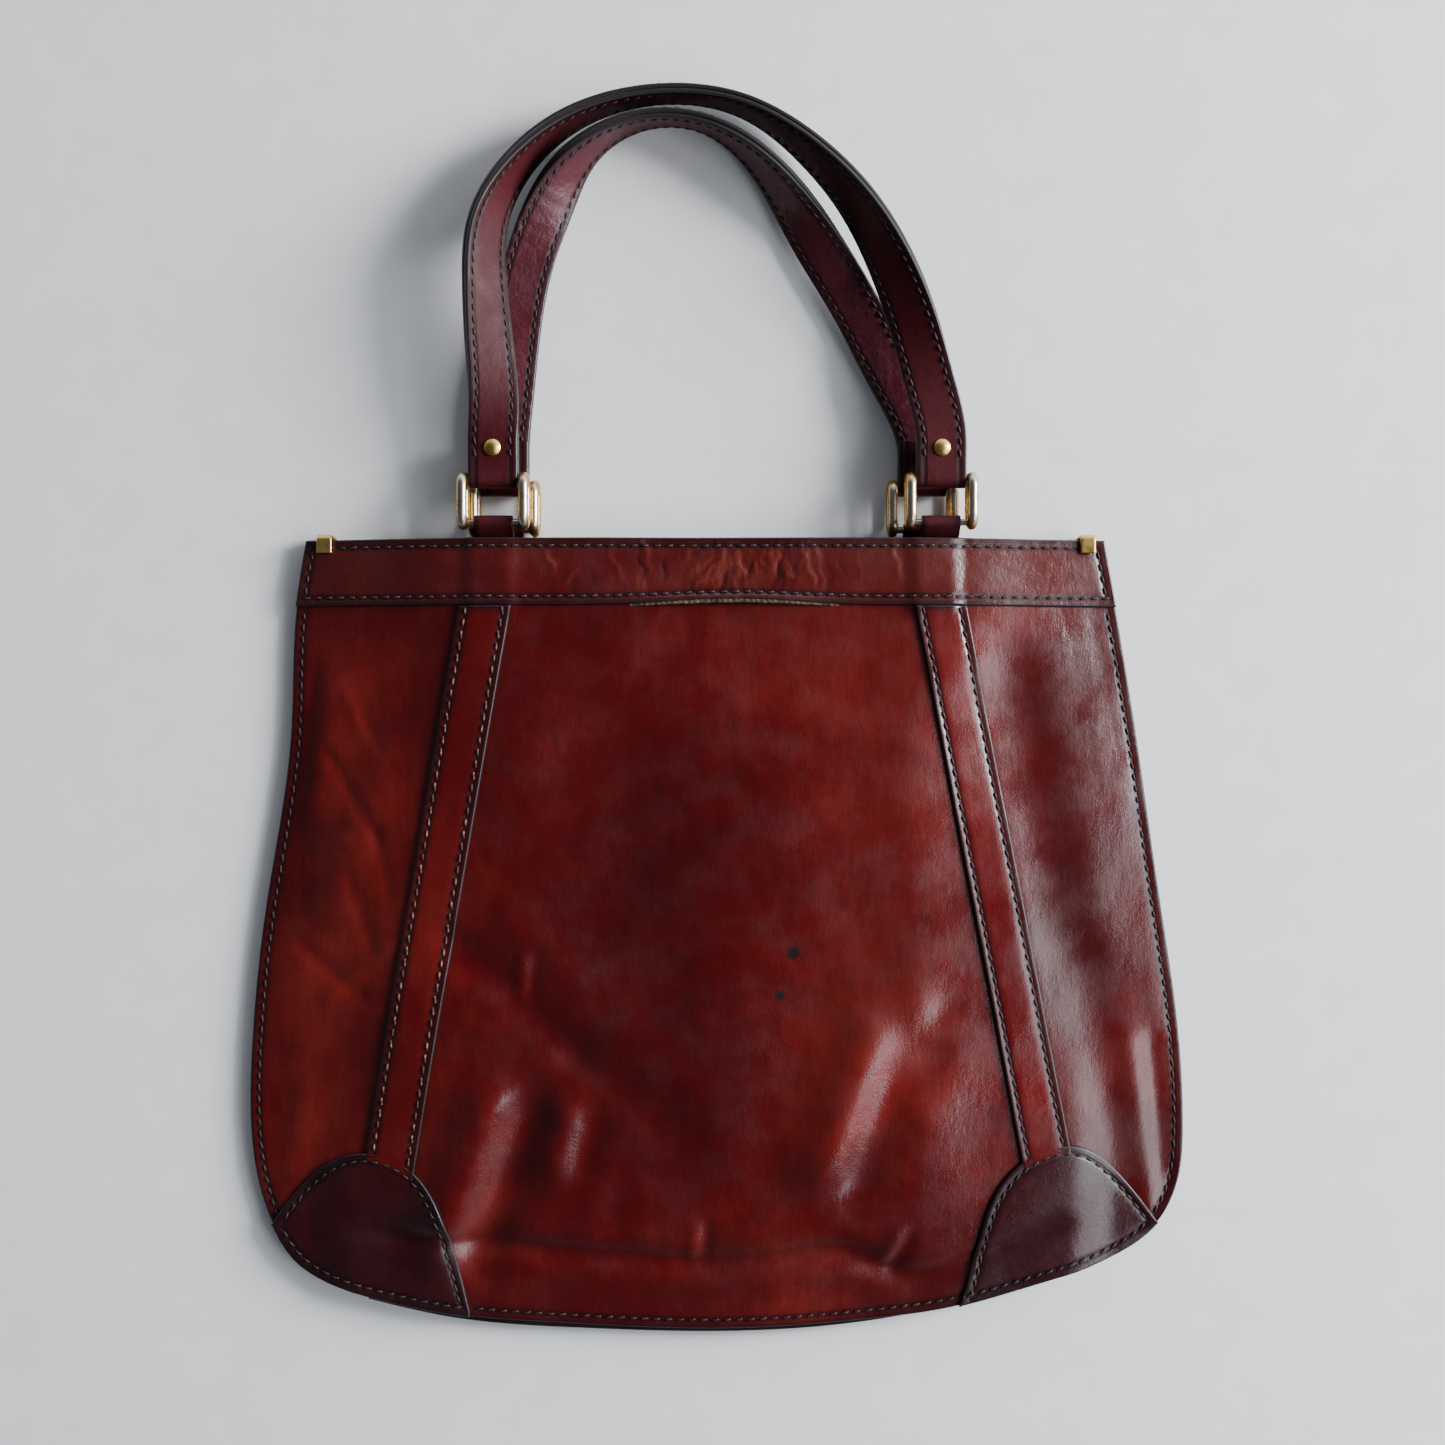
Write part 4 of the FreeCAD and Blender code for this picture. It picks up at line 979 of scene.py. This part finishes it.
low, high = node_box("slip_pocket")
pocket_plan = coons(straight(low[:2], (high[0], low[1]), 40), straight((low[0], high[1]), high[:2], 40),
                    straight(low[:2], (low[0], high[1]), 30), straight((high[0], low[1]), high[:2], 30))
build_cloth("slip_pocket", pocket_plan, level(high[2]), high[2] - low[2])

# ------------------------------------------------------------------ tabs, straps and clips
BAR = 1.2                       # radius of the rings' bars
BAR_OFFSET = 7.8                # from a ring's middle to each of its bars
LOOP_GAP = 0.1
TAB_LEATHER, TAB_HALF = 1.2, 7.0
TAB_DEPTH = 1.1                 # from the front panel's inner face down to the tab
ACROSS_LEFT = np.array([-1.0, 0.0, 0.0])


def arc_points(centre_y, centre_z, radius, start, end, count):
    """Points (y, z) on part of a circle, angles in degrees from +Y towards +Z."""
    angle = np.radians(np.linspace(start, end, count))
    return np.stack([centre_y + radius * np.cos(angle), centre_z + radius * np.sin(angle)], 1)


def ring_centre(name):
    """The middle of a ring's box."""
    low, high = node_box("ring_" + name)
    return (low + high) / 2


def side_view_path(x, points_yz, count):
    """A path in the plane at x, evenly spaced."""
    even = evenly(np.asarray(points_yz, float), count)
    return np.c_[np.full(count, x), even]


def build_tab(face, hand):
    """A tab: two layers tucked inside the mouth and a loop of 240 degrees round the ring's lower bar."""
    x, ring_y, z = ring_centre("%s_%s" % (face, hand))
    node = "%s_tab_%s" % (face, hand)
    tuck_y = node_box(node)[0][1]
    leather = TAB_LEATHER
    top_z = tuck_z = BACK_INSIDE + 2 * leather + 0.05
    if face == "front":
        mouth_z, deep_z = front_top(np.array([x, x]), np.array([MOUTH_Y, tuck_y])) - PANEL - TAB_DEPTH
        top_z, tuck_z = mouth_z, min(mouth_z - 0.4, deep_z)
    loop = arc_points(ring_y - BAR_OFFSET, z, BAR + LOOP_GAP + leather / 2, 120, -120, 26)
    upper = [(tuck_y, tuck_z - leather / 2), (MOUTH_Y - 3, top_z - leather / 2),
             (MOUTH_Y + 0.6, top_z - leather / 3)]
    lower = [(MOUTH_Y + 0.6, top_z - 1.6 * leather), (MOUTH_Y - 3, top_z - 1.5 * leather),
             (tuck_y, tuck_z - 1.5 * leather)]
    path = side_view_path(x, np.concatenate([upper, loop, lower]), 90)
    tab = ribbon_piece(node + "_leather", path, np.broadcast_to(ACROSS_LEFT, path.shape), TAB_HALF,
                       -leather / 2, leather / 2, [STRAP_CALF, EDGE_PAINT, FLESH], radius=0.35, flat_count=9)
    settle(tab, "bag", "trim_leather", node)


for face, hand in (("front", "left"), ("front", "right"), ("back", "left"), ("back", "right")):
    build_tab(face, hand)

# The middle line of each handle between its rings: x, y, z and how far it is rolled on its edge, in degrees.
FRONT_ROUTE = [
    (-79.0, 192, 18.0, 14), (-80.5, 214, 18.8, 30), (-82.0, 236, 19.2, 42), (-81.5, 256, 17.8, 54),
    (-74.5, 275, 13.8, 70), (-56, 295, 10.8, 86), (-20, 307.3, 9.8, 97), (10, 303.5, 10.0, 92),
    (35, 287, 11.8, 75), (52.5, 267, 14.2, 58), (64, 246, 16.8, 40), (73.0, 222, 18.0, 22),
    (79.5, 198, 17.8, 6),
]
BACK_ROUTE = [
    (-75.2, 196, 4.2, 3), (-72.5, 222, 4.2, 5), (-68.0, 246, 4.4, 8), (-59.8, 267, 7.2, 32),
    (-48.5, 284.5, 9.6, 70), (-27, 297.5, 9.8, 95), (-4, 297, 9.8, 97), (13.0, 287, 9.8, 82),
    (27.0, 271, 9.0, 56), (41.0, 250, 6.4, 25), (54.5, 228, 4.8, 11), (66.0, 206, 4.4, 5),
]
STRAP_HALF = 9.0
STRAP_LEATHER, BACKING = 2.0, 1.8
WHOLE = STRAP_LEATHER + BACKING
STRAP_INSET = 2.6               # from the strap's edge to its stitches
NECK, FLAP = 7.0, 17.0          # from the bar to where the strap is flat, and to the end of its riveted flap


def strap_wrinkles(strength):
    """Short cross-creases where a strap bends: a sine ripple that comes and goes along the strap."""
    def height(run, wide):
        """Height of the ripple at a distance along the strap and across it."""
        comes = np.clip(np.sin(run / 23 + 1) * np.sin(run / 9 + wide / 7), 0, 1)
        return strength * comes * np.sin(run / 0.9 + 0.5 * np.sin(wide / 2.2))
    return height


def build_handle(label, route, left, right, good_side):
    """One handle. Its outer layer goes from a riveted flap round one ring's upper bar, over the arch and
    round the other bar; its backing runs between the bars. good_side is 1 where the outer layer is uppermost."""
    reach = BAR + LOOP_GAP + STRAP_LEATHER
    middle = good_side * (reach - WHOLE / 2)
    ends = []
    for centre in (left, right):
        ends.append([(centre[0], centre[1] + BAR_OFFSET + reach_y, centre[2] + middle, 0)
                     for reach_y in (NECK, NECK + 8)])
    arch = smooth_curve(ends[0] + route + ends[1][::-1], 420)
    way = np.gradient(arch[:, :3], axis=0)
    outward = np.stack([-way[:, 1], way[:, 0], 0 * way[:, 0]], 1)
    outward /= np.linalg.norm(outward, axis=1)[:, None]
    roll = np.radians(arch[:, 3])[:, None]
    across = outward * np.cos(roll) + np.array([[0, 0, 1.0]]) * np.sin(roll)
    centre_line = arch[:, :3]
    facing = np.cross(way / np.linalg.norm(way, axis=1)[:, None], across)
    outer_shift = good_side * (WHOLE - STRAP_LEATHER) / 2
    inner_shift = -good_side * (WHOLE - BACKING) / 2
    outer_arch, inner_arch = centre_line + facing * outer_shift, centre_line + facing * inner_shift
    turn_radius = BAR + LOOP_GAP + STRAP_LEATHER / 2
    end_paths, end_across = [], []
    for centre, hand in ((left, 1), (right, -1)):
        bar_y = centre[1] + BAR_OFFSET
        under = centre[2] + middle - good_side * (WHOLE / 2 + 0.08 + STRAP_LEATHER / 2)
        over = centre[2] + good_side * turn_radius
        turn = arc_points(bar_y, centre[2], turn_radius, -104 * good_side, -270 * good_side, 22)
        side_view = [[(bar_y + FLAP, under), (bar_y + NECK, under)], turn, [(bar_y + NECK, over)]]
        end_path = side_view_path(centre[0], np.concatenate(side_view), 54)[:-1]
        end_paths.append(end_path[::hand])
        end_across.append(np.broadcast_to(ACROSS_LEFT * hand, end_path.shape))
    path = np.concatenate([end_paths[0], outer_arch, end_paths[1]])
    full_across = np.concatenate([end_across[0], across, end_across[1]])
    half = STRAP_LEATHER / 2
    outer_finish, inner_finish = [STRAP_CALF, EDGE_PAINT, FLESH], [FLESH, EDGE_PAINT, LINER_CALF]
    if good_side < 0:
        outer_finish, inner_finish = outer_finish[::-1], inner_finish[::-1]
    strap = ribbon_piece(label + "_outer_leather", path, full_across, STRAP_HALF, -half, half, outer_finish,
                         radius=0.7, stitch_inset=STRAP_INSET)
    backing = ribbon_piece(label + "_lining_leather", inner_arch, across, STRAP_HALF - 0.1, -BACKING / 2,
                           BACKING / 2, inner_finish, radius=0.6, stitch_inset=STRAP_INSET,
                           shape=strap_wrinkles(0.12) if good_side < 0 else None)
    body = "handle_" + label.split("_")[0]
    settle(strap, body, "handle_leather", label + "_strap")
    settle(backing, body, "handle_leather", label + "_backing")
    centres, ways, ups = [], [], []
    for hand in (-1, 1):
        for outer in (-1, 1):
            line = centre_line + across * hand * (STRAP_HALF - STRAP_INSET)
            packed = np.concatenate([line, facing * outer], 1)
            step, step_way = stitch_points(packed)
            up = step[:, 3:] / np.linalg.norm(step[:, 3:], axis=1)[:, None]
            centres.append(step[:, :3] + up * (WHOLE / 2 - 0.1))
            ways.append(step_way[:, :3])
            ups.append(up)
    stitches = [np.concatenate(each) for each in (centres, ways, ups)]
    sewn = thread_piece(label + "_thread", *stitches, MAROON_THREAD)
    settle(sewn, body, "handle_leather")


build_handle("front_handle", FRONT_ROUTE, ring_centre("front_left"), ring_centre("front_right"), 1)
build_handle("back_handle", BACK_ROUTE, ring_centre("back_left"), ring_centre("back_right"), -1)

CLIP_HALF, CLIP_WALL, CLIP_TURN = 2.8, 1.0, 1.2


def build_clip(hand):
    """A brass strip bent over the mouth: two flat legs and two quarter turns."""
    low, high = node_box("clip_" + hand)
    half = CLIP_WALL / 2
    turn_y = high[1] - half - CLIP_TURN
    top_z, low_z = high[2] - half, low[2] + half
    upper_turn = arc_points(turn_y, top_z - CLIP_TURN, CLIP_TURN, 90, 0, 6)
    lower_turn = arc_points(turn_y, low_z + CLIP_TURN, CLIP_TURN, 0, -90, 6)
    outline = np.concatenate([[(low[1], top_z)], upper_turn, lower_turn, [(low[1], low_z)]])
    path = side_view_path((low[0] + high[0]) / 2, outline, 60)
    clip = ribbon_piece("clip_%s_brass" % hand, path, np.broadcast_to(ACROSS_LEFT, path.shape), CLIP_HALF,
                        -half, half + 0.25, [BRASS] * 3, radius=0.55, flat_count=5)
    settle(clip, "bag", "brass", "clip_" + hand)


build_clip("left")
build_clip("right")

# The rings and rivets keep their CAD shapes.
for name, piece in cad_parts.items():
    if name.startswith("ring_") or name.endswith("rivets"):
        finish = PLATE if name.startswith("ring_") else BRASS
        piece.data.materials.clear()
        piece.data.materials.append(finish)
        piece.data.polygons.foreach_set("use_smooth", np.ones(len(piece.data.polygons), bool))

# ------------------------------------------------------------------ table, light and camera
FLOOR_HALF, FLOOR_Z = 3.0, -0.0004      # metres: a hair under the back's stitches
floor_mesh = bpy.data.meshes.new("table_top")
corners = [(x * FLOOR_HALF, y * FLOOR_HALF, FLOOR_Z) for x, y in ((-1, -1), (1, -1), (1, 1), (-1, 1))]
floor_mesh.from_pydata(corners, [], [(0, 1, 2, 3)])
floor_mesh.materials.append(plain("painted_white_table", "#eeeeed", 0.8, 60, 0.0001, "#f3f3f2"))
floor = bpy.data.objects.new("table_top", floor_mesh)
bpy.context.scene.collection.objects.link(floor)

# The room is dark overhead and behind the viewer, and bright low down towards its windows.
world = bpy.data.worlds.new("room")
bpy.context.scene.world = world
world.use_nodes = True
sky = world.node_tree
toward = add(sky, "ShaderNodeTexCoord").outputs["Generated"]
shade = add(sky, "ShaderNodeVectorMath", [(0, toward), (1, (-0.45, -0.35, 0.8))], operation="DOT_PRODUCT")
share = add(sky, "ShaderNodeMapRange", [("Value", shade.outputs["Value"]), ("From Min", -0.6),
                                        ("From Max", 1.0)])
shades = [(0.0, "#f4f8ff"), (0.35, "#b2b6bc"), (0.55, "#4a4c52"), (0.8, "#2a2c30")]
background = sky.nodes["Background"]
sky.links.new(ramp(sky, share.outputs["Result"], shades), background.inputs["Color"])
background.inputs["Strength"].default_value = 3.5


def window(name, place, target, wide, tall, power, colour):
    """A soft area light that faces a point, sizes and places in metres from the middle of the panels."""
    light = bpy.data.lights.new(name, "AREA")
    light.shape, light.size, light.size_y = "RECTANGLE", wide, tall
    light.energy, light.color = power, colour
    lamp = bpy.data.objects.new(name, light)
    bpy.context.scene.collection.objects.link(lamp)
    lamp.location = Vector(place) - Vector(REST * MM)
    lamp.rotation_euler = (Vector(target) - Vector(place)).to_track_quat("-Z", "Y").to_euler()


window("window_right", (1.8, 0.57, 0.84), (0.0, 0.05, 0.0), 0.6, 0.9, 96, (0.93, 0.96, 1.0))
window("window_near", (1.37, -0.5, 1.22), (0.0, 0.0, 0.0), 1.2, 0.6, 15, (0.90, 0.94, 1.0))

VIEW_PLACE = (0.0039, 0.0768, 0.619)    # of the lens, metres
camera_data = bpy.data.cameras.new("camera")
camera_data.sensor_width = 36.0
camera_data.angle = math.radians(47.05)
camera = bpy.data.objects.new("camera", camera_data)
bpy.context.scene.collection.objects.link(camera)
camera.location = Vector(VIEW_PLACE) - Vector(REST * MM)
bpy.context.scene.camera = camera
